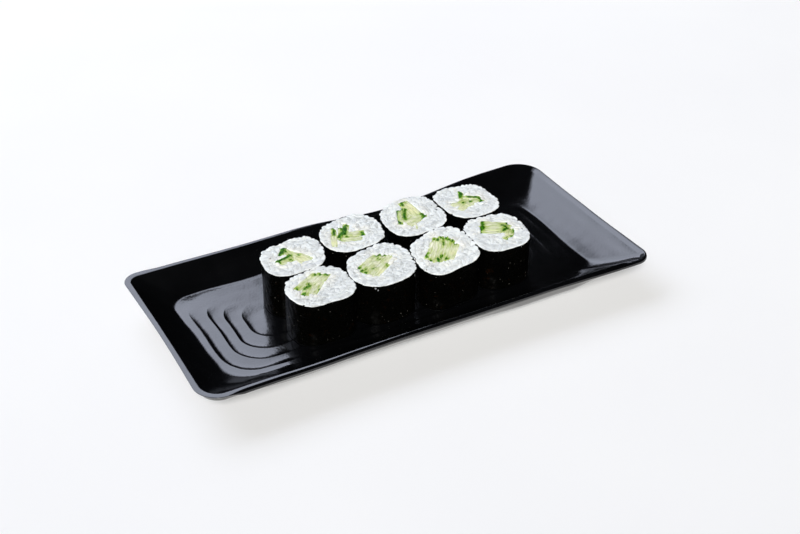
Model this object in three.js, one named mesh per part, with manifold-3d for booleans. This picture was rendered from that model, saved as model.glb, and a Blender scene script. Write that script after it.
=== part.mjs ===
// Eight cucumber maki rolls standing in two rows on a glossy black rectangular serving plate.
// Millimetres, +Z up. The origin is the middle of the plate's underside. +X runs along the
// plate's long side and +Y from the front row of rolls towards the back row.
import * as THREE from 'three';
import { mergeVertices } from 'three/addons/utils/BufferGeometryUtils.js';
import Module from 'manifold-3d';

const wasm = await Module();
wasm.setup();

const DEGREE = Math.PI / 180;
const GAP = 0.3; // clear space between pieces that touch in the real dish

// Plate. Shapes seen from above are four corners, anticlockwise from the back right one, with
// the bow of the four sides that follow them: outwards positive, inwards negative.
const PLATE_LENGTH = 269;
const PLATE_WIDTH = 125.8;
const RIM_HEIGHT = 18;
const RIM_EDGE_HEIGHT = 2.6; // visible thickness of the outer edge
const RIM_TOP_WIDTH = 3.8;
const RIM_TOP_BOW = 0.3; // share of the rim's bows that its inner line follows
const RIM_ROUNDING = 0.8;
const RIM = {
  corners: [
    { x: PLATE_LENGTH / 2 - 2.6, y: PLATE_WIDTH / 2, radius: 16 },
    { x: 0.6 - PLATE_LENGTH / 2, y: PLATE_WIDTH / 2 - 2.5, radius: 9 },
    { x: -PLATE_LENGTH / 2, y: 1 - PLATE_WIDTH / 2, radius: 14 },
    { x: PLATE_LENGTH / 2, y: -PLATE_WIDTH / 2, radius: 9 },
  ],
  bows: [-1.5, -1, -2, -0.6],
};
const CORNER_LIFT = 0.3; // the rim's corners stand a little higher than its middles
const RIM_RIPPLE = 0.2;
const RIPPLES_PER_SIDE = 3;
const BACK_DIP = { x: 34, halfSpan: 67, down: 3, inward: 2.5 }; // sagging stretch of the back rim
const WELL = rectangle({ left: -111, right: 114, front: -38, back: 43, corner: 18, bow: 1 });
const WELL_FLOOR = 5.5; // height of the floor at the foot of the wall
const WALL_CURVE = [[0.26, 0.14], [0.62, 0.5]]; // [share of the way out, share of the rise]
const WALL_DEPTH = 4.4; // thickness of the wall, measured straight down
const FOOT = rectangle({ left: -112, right: 112, front: -38.5, back: 38.5, corner: 14, bow: 0 });
const FOOT_HEIGHT = 1.8;

// The floor steps down towards the middle over four nested, uneven ridges.
const RIDGE_STEP = 0.5;
const RIDGE_COVE = 3; // width of the hollow slope that climbs to each ridge
const RIDGE_CURVE = [[0, 0], [0.3, 0.65], [1, 1]]; // [share of the way in, share of the fall]
const RIDGES = [
  rectangle({ left: -83, right: 82, front: -10, back: 21.5, corner: 12, bow: 2 }),
  rectangle({ left: -91.5, right: 90.5, front: -19, back: 30.5, corner: 14, bow: 2 }),
  rectangle({ left: -99, right: 98.5, front: -27.5, back: 36, corner: 15, bow: 1.5 }),
  rectangle({ left: -108, right: 106.5, front: -35, back: 38.5, corner: 17, bow: 1.5 }),
];

const LONG_SIDE_POINTS = 13;
const SHORT_SIDE_POINTS = 5;
const CORNER_POINTS = 5;
const SMALLEST_CORNER = 1; // radius

// Rolls
const CUT_HEIGHT = 31; // height of the cut faces above the table
const NORI_THICKNESS = 0.5;
const NORI_DROP = 0.5; // the seaweed ends this far below the cut face
const RICE_EDGE = 0.8; // rounding of the rice where the knife left it
const TUCK_TURN = 42; // how far the tucked end of the seaweed turns from straight inwards
const OUTLINE_POINTS = 30;
const CUTTER_OVERRUN = 5; // the room for a filling is cut past both ends of the rice

// Each outline is a circle with an oval, a lopsided and a square swelling: [size, direction].
// slope is how steeply the cut face falls, and towards which direction. tuck is where the
// seaweed's inner end leaves the wall, and how far it runs into the rice: [direction, length].
// strips are the cucumber sticks: [x, y, length, width, direction], about the roll's centre.
const ROLLS = [
  {
    name: 'back_1', x: -49.5, y: 16.3, radius: 17.7, tuck: [7, 7.5],
    oval: [1.8, 20], lopsided: [0.3, 50], square: [1.1, 42], slope: [0, 0],
    strips: [[-3.6, 6.7, 7.5, 2.6, 52], [-5.5, -0.7, 9, 3.4, 13], [0.6, 1.2, 15, 4.5, -62],
      [4.2, -2.9, 11, 4.4, -62], [-4.6, -3.2, 8.5, 2.4, 5], [1.6, -4.6, 7, 2.8, -80]],
  },
  {
    name: 'front_1', x: -49, y: -15.7, radius: 18, tuck: [2, 5],
    oval: [1.1, 9], lopsided: [0.5, 60], square: [1, 47], slope: [0, 0],
    strips: [[-4.5, 7.1, 17.5, 3.4, 29], [-0.4, 6.2, 13.5, 3.2, 34], [2.4, 3.6, 14, 3.4, 38],
      [-7.6, -0.4, 9, 4.2, 50], [-3.4, -1.7, 9, 3.8, 44]],
  },
  {
    name: 'back_2', x: -11.1, y: 22.1, radius: 18.3, tuck: [0, 5.5],
    oval: [1.3, 25], lopsided: [0.4, 68], square: [0.8, 45], slope: [0, 0],
    strips: [[-11, -0.1, 17.5, 2.6, 66], [-1.2, 4.8, 8.5, 3, 62], [-4.9, 3.8, 8, 2.8, 62],
      [0.6, -1.9, 11, 4.4, -12], [-7, -0.6, 6, 4.2, 30], [-2.6, -5.6, 11, 4, -24]],
  },
  {
    name: 'front_2', x: -11.4, y: -13.7, radius: 18.9, tuck: [-3, 5.5],
    oval: [1.1, 30], lopsided: [0.5, 54], square: [0.6, 47], slope: [1.5, 241],
    strips: [[-5.6, 5.4, 15, 3, 27], [-4, 3.3, 18.5, 2.9, 29], [-2, 1.4, 20, 2.9, 31],
      [-0.4, -0.8, 20, 3, 33], [-1.6, -3.6, 12, 3.2, 30]],
  },
  {
    name: 'back_3', x: 27.2, y: 21.3, radius: 18.9, tuck: [7, 6],
    oval: [0.8, 46], lopsided: [0.4, 77], square: [1, 48], slope: [1.5, 241],
    strips: [[2.2, 6.6, 16, 6, 95], [-7, 1.8, 14, 2.8, 66], [-3.4, 3.6, 12.5, 2.9, 62],
      [0, -3.6, 13, 4.2, 12], [-2.6, -6.2, 8, 3.2, 20]],
  },
  {
    name: 'front_3', x: 25.4, y: -17.6, radius: 18.7, tuck: [0, 7.5],
    oval: [1, 37], lopsided: [0.4, 84], square: [1.2, 47], slope: [6.5, 241],
    strips: [[-5.4, 4.6, 18.5, 3.2, 47], [-3, 2.7, 20.5, 3.2, 48], [-0.3, 0.9, 20.5, 3.2, 49],
      [2.1, -1.1, 18, 3.2, 48], [3.9, -3.3, 13, 3.2, 45]],
  },
  {
    name: 'back_4', x: 62.3, y: 20.5, radius: 17.8, tuck: [-14, 4],
    oval: [0.8, 115], lopsided: [0.4, 10], square: [0.9, 45], slope: [0, 0],
    strips: [[-0.8, 4.7, 11.5, 2.6, 64], [4.2, 1.8, 8.5, 3, -28], [6.6, -1.4, 7, 3, -75],
      [-4.4, -0.4, 11, 3.4, 8], [-3, -3.8, 12.5, 4, 32], [2.6, -2.4, 9, 4, 20]],
  },
  {
    name: 'front_4', x: 60.4, y: -15.8, radius: 18.2, tuck: [-10, 5],
    oval: [0.8, 82], lopsided: [0.4, 2], square: [1.1, 42], slope: [0, 0],
    strips: [[2.6, 7.6, 14.5, 4, -32], [0, 4.2, 14, 4, -32], [-2.8, 1.8, 12, 3.4, -32],
      [5.9, 0.6, 8.5, 4, 38], [6.1, -3.6, 8, 4.4, 55], [2.9, -6.6, 7, 3, 25]],
  },
];
const STRIP_HEIGHTS = [0, 0.5, -0.4, 0.3, -0.6, 0.2]; // sticks end unevenly at the cut

// Cooked rice grains that stand out of each cut face
const GRAIN = { length: 6.2, width: 2.8, height: 2.2, sides: 6, rings: 3, sunk: 0.3 };
const GRAINS_PER_ROLL = 22;
const GRAIN_TRIES = 40;
const GRAIN_TILT = 8;
const GRAIN_SEED = 7;
const RANDOM_RULE = { factor: 1664525, step: 1013904223, range: 2 ** 32 };

const MATERIALS = {
  plate: new THREE.MeshStandardMaterial({ color: 0x08090b, roughness: 0.12, metalness: 0 }),
  nori: new THREE.MeshStandardMaterial({ color: 0x0d100a, roughness: 0.55, metalness: 0 }),
  rice: new THREE.MeshStandardMaterial({ color: 0xe8ecee, roughness: 0.45, metalness: 0 }),
  cucumber: new THREE.MeshStandardMaterial({ color: 0xc6d694, roughness: 0.3, metalness: 0 }),
};

// ---- Shared shape helpers -----------------------------------------------------------------

// Repeatable random numbers from 0 to 1.
function makeRandom(seed) {
  const { factor, step, range } = RANDOM_RULE;
  let state = seed;
  return () => {
    state = (state * factor + step) % range;
    return state / range;
  };
}

// A closed skin over loops of equally many points, each loop running anticlockwise seen from
// above. The loops start under the body, pass round its outside and end on top of it.
function skinLoops(loops, bottomCentre, topCentre) {
  const count = loops[0].length;
  const points = [bottomCentre, ...loops.flat(), topCentre];
  const at = (loop, step) => 1 + loop * count + (step % count);
  const faces = [];
  for (let step = 0; step < count; step += 1) {
    faces.push(0, at(0, step + 1), at(0, step));
    for (let loop = 0; loop < loops.length - 1; loop += 1) {
      faces.push(at(loop, step), at(loop, step + 1), at(loop + 1, step + 1));
      faces.push(at(loop, step), at(loop + 1, step + 1), at(loop + 1, step));
    }
    faces.push(points.length - 1, at(loops.length - 1, step), at(loops.length - 1, step + 1));
  }
  const geometry = new THREE.BufferGeometry().setFromPoints(points);
  geometry.setIndex(faces);
  return geometry;
}

function toSolid(geometry) {
  const bare = geometry.clone();
  bare.deleteAttribute('normal');
  bare.deleteAttribute('uv');
  const merged = mergeVertices(bare);
  const vertProperties = new Float32Array(merged.attributes.position.array);
  const triVerts = new Uint32Array(merged.index.array);
  return new wasm.Manifold(new wasm.Mesh({ numProp: 3, vertProperties, triVerts }));
}

function toGeometry(solid) {
  const { vertProperties, triVerts } = solid.getMesh();
  const geometry = new THREE.BufferGeometry();
  geometry.setAttribute('position', new THREE.BufferAttribute(vertProperties, 3));
  geometry.setIndex(new THREE.BufferAttribute(triVerts, 1));
  return geometry;
}

function joinAll(solids) {
  return solids.reduce((joined, solid) => joined.add(solid));
}

function makeMesh(name, geometry, material) {
  geometry.computeVertexNormals();
  const mesh = new THREE.Mesh(geometry, material.clone());
  mesh.name = name;
  return mesh;
}

// ---- Plate --------------------------------------------------------------------------------

function rectangle({ left, right, front, back, corner, bow }) {
  const places = [[right, back], [left, back], [left, front], [right, front]];
  return {
    corners: places.map(([x, y]) => ({ x, y, radius: corner })),
    bows: [bow, 0, bow, 0],
  };
}

// Points round a shape, the same number on every side and corner whatever its size.
function shapeLoop({ corners, bows }, height) {
  const arcs = corners.map(({ x, y, radius }, quarter) => {
    const middle = new THREE.Vector2(x - Math.sign(x) * radius, y - Math.sign(y) * radius);
    return Array.from({ length: CORNER_POINTS + 1 }, (_, step) => {
      const angle = (quarter + step / CORNER_POINTS) * 90 * DEGREE;
      return new THREE.Vector2(Math.cos(angle), Math.sin(angle)).multiplyScalar(radius).add(middle);
    });
  });
  const outline = arcs.flatMap((arc, quarter) => {
    const start = arc[arc.length - 1];
    const end = arcs[(quarter + 1) % arcs.length][0];
    const outwards = new THREE.Vector2(end.y - start.y, start.x - end.x).normalize();
    const steps = quarter % 2 === 0 ? LONG_SIDE_POINTS : SHORT_SIDE_POINTS;
    const side = Array.from({ length: steps - 1 }, (_, step) => {
      const travel = (step + 1) / steps;
      const bow = bows[quarter] * Math.sin(Math.PI * travel);
      return start.clone().lerp(end, travel).addScaledVector(outwards, bow);
    });
    return [...arc, ...side];
  });
  return outline.map((point) => new THREE.Vector3(point.x, point.y, height));
}

// Bends a loop the way the rim is bent: strength 1 at the rim, 0 on the floor.
function bendWithRim(loop, strength) {
  for (const point of loop) {
    const u = point.x / (PLATE_LENGTH / 2);
    const v = point.y / (PLATE_WIDTH / 2);
    const ripple = Math.sin(RIPPLES_PER_SIDE * Math.PI * u) * Math.cos(RIPPLES_PER_SIDE * v);
    const fromDip = THREE.MathUtils.clamp((point.x - BACK_DIP.x) / BACK_DIP.halfSpan, -1, 1);
    const dip = v > 0 ? 0.5 * (1 + Math.cos(Math.PI * fromDip)) * v * v : 0;
    point.y -= strength * BACK_DIP.inward * dip;
    point.z += strength * (CORNER_LIFT * u * u * v * v + RIM_RIPPLE * ripple - BACK_DIP.down * dip);
  }
  return loop;
}

// The same shape drawn in by an equal amount all round, with less of its bows.
function shrink({ corners, bows }, amount, bowShare = 1) {
  return {
    corners: corners.map(({ x, y, radius }) => ({
      x: x - Math.sign(x) * amount,
      y: y - Math.sign(y) * amount,
      radius: Math.max(radius - amount, SMALLEST_CORNER),
    })),
    bows: bows.map((bow) => bow * bowShare),
  };
}

function mix(from, to, share) {
  const between = (one, other) => THREE.MathUtils.lerp(one, other, share);
  return {
    corners: from.corners.map((corner, index) => ({
      x: between(corner.x, to.corners[index].x),
      y: between(corner.y, to.corners[index].y),
      radius: between(corner.radius, to.corners[index].radius),
    })),
    bows: from.bows.map((bow, index) => between(bow, to.bows[index])),
  };
}

function makePlate() {
  const rimInside = shrink(RIM, RIM_TOP_WIDTH, RIM_TOP_BOW);
  const rimShoulder = shrink(RIM, RIM_ROUNDING);
  const underRim = RIM_HEIGHT - RIM_EDGE_HEIGHT;
  const wallTop = RIM_HEIGHT - RIM_ROUNDING / 2;
  const wallLoops = (depth) => WALL_CURVE.map(([out, rise]) => {
    const height = THREE.MathUtils.lerp(WELL_FLOOR, wallTop, rise) - depth;
    return bendWithRim(shapeLoop(mix(WELL, rimInside, out), height), out);
  });
  const loops = [
    shapeLoop(FOOT, 0),
    shapeLoop(FOOT, FOOT_HEIGHT),
    ...wallLoops(WALL_DEPTH),
    bendWithRim(shapeLoop(rimInside, wallTop - WALL_DEPTH), 1),
    bendWithRim(shapeLoop(rimShoulder, underRim), 1),
    bendWithRim(shapeLoop(RIM, underRim + RIM_ROUNDING), 1),
    bendWithRim(shapeLoop(RIM, RIM_HEIGHT - RIM_ROUNDING), 1),
    bendWithRim(shapeLoop(rimShoulder, RIM_HEIGHT), 1),
    bendWithRim(shapeLoop(rimInside, wallTop), 1),
    ...wallLoops(0).reverse(),
    shapeLoop(WELL, WELL_FLOOR),
  ];
  for (let ridge = RIDGES.length - 1; ridge >= 0; ridge -= 1) {
    const crest = floorBehindRidge(ridge);
    for (const [inwards, fall] of RIDGE_CURVE) {
      const level = shrink(RIDGES[ridge], inwards * RIDGE_COVE);
      loops.push(shapeLoop(level, crest - fall * RIDGE_STEP));
    }
  }
  const floorCentre = new THREE.Vector3(0, 0, floorBehindRidge(-1));
  return makeMesh('plate', skinLoops(loops, new THREE.Vector3(), floorCentre), MATERIALS.plate);
}

// Height of the floor just outside a ridge; ridge -1 means inside them all.
function floorBehindRidge(ridge) {
  return WELL_FLOOR - (RIDGES.length - 1 - ridge) * RIDGE_STEP;
}

// Whether a convex anticlockwise loop has a point inside it.
function encloses(loop, { x, y }) {
  return loop.every((start, index) => {
    const end = loop[(index + 1) % loop.length];
    return (end.x - start.x) * (y - start.y) > (end.y - start.y) * (x - start.x);
  });
}

// Height of the highest ridge under a roll, on which its flat base stands.
function restingHeight(roll) {
  const levels = RIDGES.map((ridge) => shapeLoop(shrink(ridge, RIDGE_COVE), 0));
  const ridgesReached = outlinePoints(roll, 0).map(
    (point) => levels.filter((level) => !encloses(level, point)).length,
  );
  return floorBehindRidge(Math.max(...ridgesReached) - 1);
}

// ---- Rolls --------------------------------------------------------------------------------

function outlineRadius(roll, angle) {
  const swelling = ([size, direction], lobes) => size * Math.cos(lobes * (angle - direction * DEGREE));
  return roll.radius + swelling(roll.oval, 2) + swelling(roll.lopsided, 3) + swelling(roll.square, 4);
}

function outlinePoints(roll, inset) {
  return Array.from({ length: OUTLINE_POINTS }, (_, step) => {
    const angle = (step / OUTLINE_POINTS) * 2 * Math.PI;
    const radius = outlineRadius(roll, angle) - inset;
    return new THREE.Vector2(roll.x + radius * Math.cos(angle), roll.y + radius * Math.sin(angle));
  });
}

function outlineLoop(roll, inset, height) {
  return outlinePoints(roll, inset).map((point) => new THREE.Vector3(point.x, point.y, height));
}

// A stick of cucumber, or with grow the room that it needs.
function makeStrip(roll, [x, y, length, width, direction], bottom, top, grow) {
  const strip = new THREE.BoxGeometry(length + 2 * grow, width + 2 * grow, top - bottom);
  strip.rotateZ(direction * DEGREE);
  strip.translate(roll.x + x, roll.y + y, (top + bottom) / 2);
  return toSolid(strip);
}

// The inner end of the seaweed sheet, which turns in from the wall, or its room in the rice.
function makeTuck(roll, bottom, top, grow) {
  const [start, length] = roll.tuck;
  const angle = start * DEGREE;
  const wall = outlineRadius(roll, angle) - NORI_THICKNESS / 2;
  const tuck = new THREE.BoxGeometry(length + grow, NORI_THICKNESS + 2 * grow, top - bottom);
  tuck.translate((length + grow) / 2, 0, (top + bottom) / 2);
  tuck.rotateZ(angle + Math.PI + TUCK_TURN * DEGREE);
  tuck.translate(roll.x + wall * Math.cos(angle), roll.y + wall * Math.sin(angle), 0);
  return toSolid(tuck);
}

// Tips the cut face of a roll without moving its base.
function slopeCut(geometry, roll, base) {
  const steepness = Math.tan(roll.slope[0] * DEGREE);
  const towards = roll.slope[1] * DEGREE;
  const position = geometry.attributes.position;
  for (let index = 0; index < position.count; index += 1) {
    const ahead = (position.getX(index) - roll.x) * Math.cos(towards)
      + (position.getY(index) - roll.y) * Math.sin(towards);
    const lift = (position.getZ(index) - base) / (CUT_HEIGHT - base);
    position.setZ(index, position.getZ(index) - lift * steepness * ahead);
  }
  return geometry;
}

function makeNori(roll, base) {
  const top = CUT_HEIGHT - NORI_DROP;
  const wallShape = new THREE.Shape(outlinePoints(roll, 0));
  wallShape.holes.push(new THREE.Path(outlinePoints(roll, NORI_THICKNESS)));
  const wall = new THREE.ExtrudeGeometry(wallShape, { depth: top - base, bevelEnabled: false });
  wall.translate(0, 0, base);
  return toSolid(wall).add(makeTuck(roll, base, top, 0));
}

function makeCucumber(roll, base) {
  const strips = roll.strips.map((strip, index) => {
    const top = CUT_HEIGHT + STRIP_HEIGHTS[index % STRIP_HEIGHTS.length];
    return makeStrip(roll, strip, base, top, 0);
  });
  return joinAll(strips);
}

// Distance from a point to the nearest cucumber stick.
function distanceToStrips(roll, x, y) {
  const distances = roll.strips.map(([stripX, stripY, length, width, direction]) => {
    const local = new THREE.Vector2(x - roll.x - stripX, y - roll.y - stripY);
    local.rotateAround(new THREE.Vector2(), -direction * DEGREE);
    const beyondEnd = Math.max(Math.abs(local.x) - length / 2, 0);
    const beyondSide = Math.max(Math.abs(local.y) - width / 2, 0);
    return Math.hypot(beyondEnd, beyondSide);
  });
  return Math.min(...distances);
}

// A grain may lie where both its ends stay on the rice.
function grainFits(roll, grain) {
  const clear = GRAIN.width / 2 + GAP;
  const reach = (GRAIN.length - GRAIN.width) / 2;
  return [-reach, 0, reach].every((along) => {
    const x = grain.x + along * Math.cos(grain.turn);
    const y = grain.y + along * Math.sin(grain.turn);
    const fromCentre = Math.hypot(x - roll.x, y - roll.y);
    const wall = outlineRadius(roll, Math.atan2(y - roll.y, x - roll.x));
    const room = wall - NORI_THICKNESS - GAP - GRAIN.width / 2;
    return fromCentre < room && distanceToStrips(roll, x, y) > clear;
  });
}

// Grains spread evenly: each new one goes where it is furthest from the others.
function placeGrains(roll, random) {
  const grains = [];
  for (let count = 0; count < GRAINS_PER_ROLL; count += 1) {
    let best = null;
    for (let attempt = 0; attempt < GRAIN_TRIES; attempt += 1) {
      const angle = random() * 2 * Math.PI;
      const radius = Math.sqrt(random()) * outlineRadius(roll, angle);
      const turn = random() * Math.PI;
      const grain = { x: roll.x + radius * Math.cos(angle), y: roll.y + radius * Math.sin(angle), turn };
      const spacing = Math.min(...grains.map((other) => Math.hypot(other.x - grain.x, other.y - grain.y)));
      if (grainFits(roll, grain) && (best === null || spacing > best.spacing)) {
        best = { ...grain, spacing };
      }
    }
    if (best !== null) {
      grains.push(best);
    }
  }
  return grains;
}

function makeGrain({ x, y, turn }, random) {
  const grain = new THREE.SphereGeometry(0.5, GRAIN.sides, GRAIN.rings);
  grain.rotateZ(Math.PI / 2);
  grain.scale(GRAIN.length, GRAIN.width, GRAIN.height);
  grain.rotateY((random() - 0.5) * 2 * GRAIN_TILT * DEGREE);
  grain.rotateZ(turn);
  grain.translate(x, y, CUT_HEIGHT - GRAIN.sunk);
  return toSolid(grain);
}

function makeRice(roll, base, random) {
  const wall = NORI_THICKNESS + GAP;
  const loops = [
    outlineLoop(roll, wall, base),
    outlineLoop(roll, wall, CUT_HEIGHT - RICE_EDGE),
    outlineLoop(roll, wall + RICE_EDGE, CUT_HEIGHT),
  ];
  const bottomCentre = new THREE.Vector3(roll.x, roll.y, base);
  const topCentre = new THREE.Vector3(roll.x, roll.y, CUT_HEIGHT);
  const core = toSolid(skinLoops(loops, bottomCentre, topCentre));
  const grains = placeGrains(roll, random).map((grain) => makeGrain(grain, random));
  const bottom = base - CUTTER_OVERRUN;
  const top = CUT_HEIGHT + CUTTER_OVERRUN;
  const rooms = roll.strips.map((strip) => makeStrip(roll, strip, bottom, top, GAP));
  rooms.push(makeTuck(roll, bottom, top, GAP));
  const pieces = joinAll([core, ...grains]).subtract(joinAll(rooms)).decompose();
  return pieces.sort((one, other) => other.volume() - one.volume())[0];
}

function makeRoll(roll, random) {
  const base = restingHeight(roll) + GAP;
  const layers = {
    nori: makeNori(roll, base),
    rice: makeRice(roll, base, random),
    cucumber: makeCucumber(roll, base),
  };
  const group = new THREE.Group();
  for (const [layer, solid] of Object.entries(layers)) {
    const geometry = slopeCut(toGeometry(solid), roll, base);
    group.add(makeMesh(`${layer}_${roll.name}`, geometry, MATERIALS[layer]));
  }
  return group;
}

const dish = new THREE.Group();
dish.add(makePlate());
const random = makeRandom(GRAIN_SEED);
for (const roll of ROLLS) {
  dish.add(makeRoll(roll, random));
}

export default dish;
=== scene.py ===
import math
from collections import namedtuple

import bpy
import numpy as np
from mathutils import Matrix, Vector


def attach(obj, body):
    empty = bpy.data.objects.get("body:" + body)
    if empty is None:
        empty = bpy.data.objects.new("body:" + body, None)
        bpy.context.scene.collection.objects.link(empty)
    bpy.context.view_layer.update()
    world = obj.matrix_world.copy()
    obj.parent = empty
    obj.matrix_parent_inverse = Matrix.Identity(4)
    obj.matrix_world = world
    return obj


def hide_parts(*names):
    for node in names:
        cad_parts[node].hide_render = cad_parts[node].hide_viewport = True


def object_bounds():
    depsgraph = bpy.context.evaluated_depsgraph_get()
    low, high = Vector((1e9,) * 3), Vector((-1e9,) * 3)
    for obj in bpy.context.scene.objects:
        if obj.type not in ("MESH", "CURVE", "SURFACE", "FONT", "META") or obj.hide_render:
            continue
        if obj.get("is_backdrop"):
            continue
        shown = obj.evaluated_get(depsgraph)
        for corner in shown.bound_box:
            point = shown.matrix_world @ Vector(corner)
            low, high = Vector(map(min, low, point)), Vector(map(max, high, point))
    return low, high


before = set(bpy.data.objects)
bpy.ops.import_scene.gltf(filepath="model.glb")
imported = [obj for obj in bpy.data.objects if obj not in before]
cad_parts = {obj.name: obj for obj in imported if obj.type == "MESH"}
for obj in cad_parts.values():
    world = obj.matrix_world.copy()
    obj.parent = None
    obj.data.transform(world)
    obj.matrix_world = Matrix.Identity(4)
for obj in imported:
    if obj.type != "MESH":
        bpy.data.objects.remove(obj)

CAD_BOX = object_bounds()
MM = 0.001
TURN = 2 * math.pi
SEED = 41
WAVE_COUNT = 22  # waves summed for one smooth random surface
FLAT = np.array([1, 1, 0])  # points times this lie at height 0

# ---- Plate, as in the CAD model ----

PLATE_LENGTH, PLATE_WIDTH = 269.0, 125.8
RIM_HEIGHT = 18.0
RIM_TOP_WIDTH = 3.8
RIM_TOP_BOW = 0.3
RIM_ROUNDING = 0.8
CORNER_LIFT = 0.3
RIM_RIPPLE, RIPPLES_PER_SIDE = 0.2, 3
DIP_X, DIP_HALF_SPAN, DIP_DOWN, DIP_INWARD = 34.0, 67.0, 3.0, 2.5
WELL_FLOOR = 5.5
WALL_CURVE = [(0.0, 0.0), (0.26, 0.14), (0.62, 0.5), (1.0, 1.0)]  # (share out, share of rise)
WALL_DEPTH = 4.4
FOOT_HEIGHT = 1.8
RIDGE_STEP, RIDGE_COVE = 0.5, 3.0
SMALLEST_CORNER = 1.0
LOOP_STEPS = (26, 150, 66)  # round a corner, along the front or back, and along an end


def shape(corners, bows):
    """Four corners (x, y, radius), anticlockwise from the back right one, and the sides' bows."""
    return np.array(corners, float), np.array(bows, float)


def rectangle(left, right, front, back, corner, bow):
    places = [(right, back), (left, back), (left, front), (right, front)]
    return shape([(x, y, corner) for x, y in places], [bow, 0, bow, 0])


RIM = shape(
    [
        (PLATE_LENGTH / 2 - 2.6, PLATE_WIDTH / 2, 16),
        (0.6 - PLATE_LENGTH / 2, PLATE_WIDTH / 2 - 2.5, 9),
        (-PLATE_LENGTH / 2, 1 - PLATE_WIDTH / 2, 14),
        (PLATE_LENGTH / 2, -PLATE_WIDTH / 2, 9),
    ],
    [-1.5, -1, -2, -0.6],
)
FOOT = rectangle(-112, 112, -38.5, 38.5, 14, 0)
# The ridges from the innermost; the backs of three lie 1 to 2 mm off the CAD's.
RIDGES = [
    rectangle(-83, 82, -10, 21.5, 12, 2),
    rectangle(-91.5, 90.5, -19, 28.5, 14, 2),
    rectangle(-99, 98.5, -27.5, 35, 15, 1.5),
    rectangle(-108, 106.5, -35, 40.5, 17, 1.5),
]

# ---- Plate, finer than in the CAD model ----

# The rim's outer edge from below, (inwards, height): a rounded edge, thinner round the left end.
RIM_EDGE = [(1.7, 15.3), (0.8, 15.42), (0.3, 15.6), (0.05, 15.85), (0, 16.1), (0.02, 16.7),
            (0.14, 17.2), (0.5, 17.7), (1.2, 18.0)]
THIN_EDGE = [(1.7, 16.7), (1.15, 17.0), (0.7, 17.25), (0.4, 17.5), (0.18, 17.68), (0.04, 17.82),
             (0, 17.9), (0.06, 17.97), (0.2, 18.0)]
THIN_FROM, THIN_BLEND = -112.0, 10.0
RIM_CROWN = [(0.25, 0), (0.5, 0), (0.75, 0.01), (0.88, 0.04), (0.96, 0.12)]  # (share in, drop)
RIM_INSIDE_DROP, RIM_INSIDE_ROUNDING = 0.12, 0.28
# How far the rim's top tips inwards at the right end, where it runs on into the wall.
RIM_TIP, RIM_TIP_FROM, RIM_TIP_BLEND = 1.9, 114.0, 12.0

# The wall's foot lies further in at the right than the CAD's and has two sharper corners. The
# wall along the front is gentler below and steeper above, which fades out at both ends.
WALL_FOOT = shape([(110, 43, 18), (-112, 43, 11), (-111, -38, 18), (110, -38, 9)], [1, 0, 1, 0])
RIGHT_FOOT = [(18, 12, 1.0), (-16, 16, -0.5), (38, 10, -1.0)]  # bulges, (y, width, outwards)
RIGHT_FOOT_FROM, RIGHT_FOOT_BLEND = 92, 14
FRONT_CURVE = [(0.0, 0.0), (0.26, 0.1), (0.62, 0.37), (1.0, 1.0)]
STEEPER_CURVE = [(0.0, 0.0), (0.26, 0.04), (0.66, 0.28), (1.0, 1.0)]  # the front's right half
STEEPER_FROM, STEEPER_BLEND = 10.0, 50.0
FRONT_FROM, FRONT_BLEND = -32.0, 12.0
FRONT_REACH, FRONT_ENDS = 112.0, 26.0
WALL_SHARES = [0.002, 0.012, 0.03, *np.linspace(0.06, 1, 34)]  # of its width, from the rim

# The floor's terraces fall outwards a little, and each ridge's step fades out inwards.
WANDER, WANDER_SIZE = 0.45, 42  # how far the floor's lines stray
APRON = [(0.25, 0.04), (0.5, 0.07), (0.75, 0.09)]  # wall's foot to outer ridge, (share, drop)
TERRACE_TILT = 0.48
RIDGE_SPACING = 8.5
RIDGE_SOFTNESS = 1.75
CREST_DROP = 0.1
FADE_BEHIND, FADE_BLEND = (2, 8, 12, 15), 18.0  # where ridges start to fade, and over what
FADE_RIGHT, FADE_RIGHT_BLEND, FADE_RIGHT_SHARE = 20.0, 50.0, 0.9
RIDGE_SHARES = [0, 0.006, 0.016, 0.03, 0.05, 0.08, 0.11, 0.15, 0.2, 0.26, 0.33, 0.41, 0.5, 0.62,
                0.75, 0.88, 0.97]
WARP = [(0.05, 34), (0.012, 9)]  # unevenness of the whole inside, (height, size)

# ---- Rolls, as in the CAD model ----

CUT_HEIGHT = 31.0
NORI_TOP = 30.5
NORI_THICKNESS = 0.5
TUCK_TURN = 42
STRIP_HEIGHTS = [0, 0.5, -0.4, 0.3, -0.6, 0.2]

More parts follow.
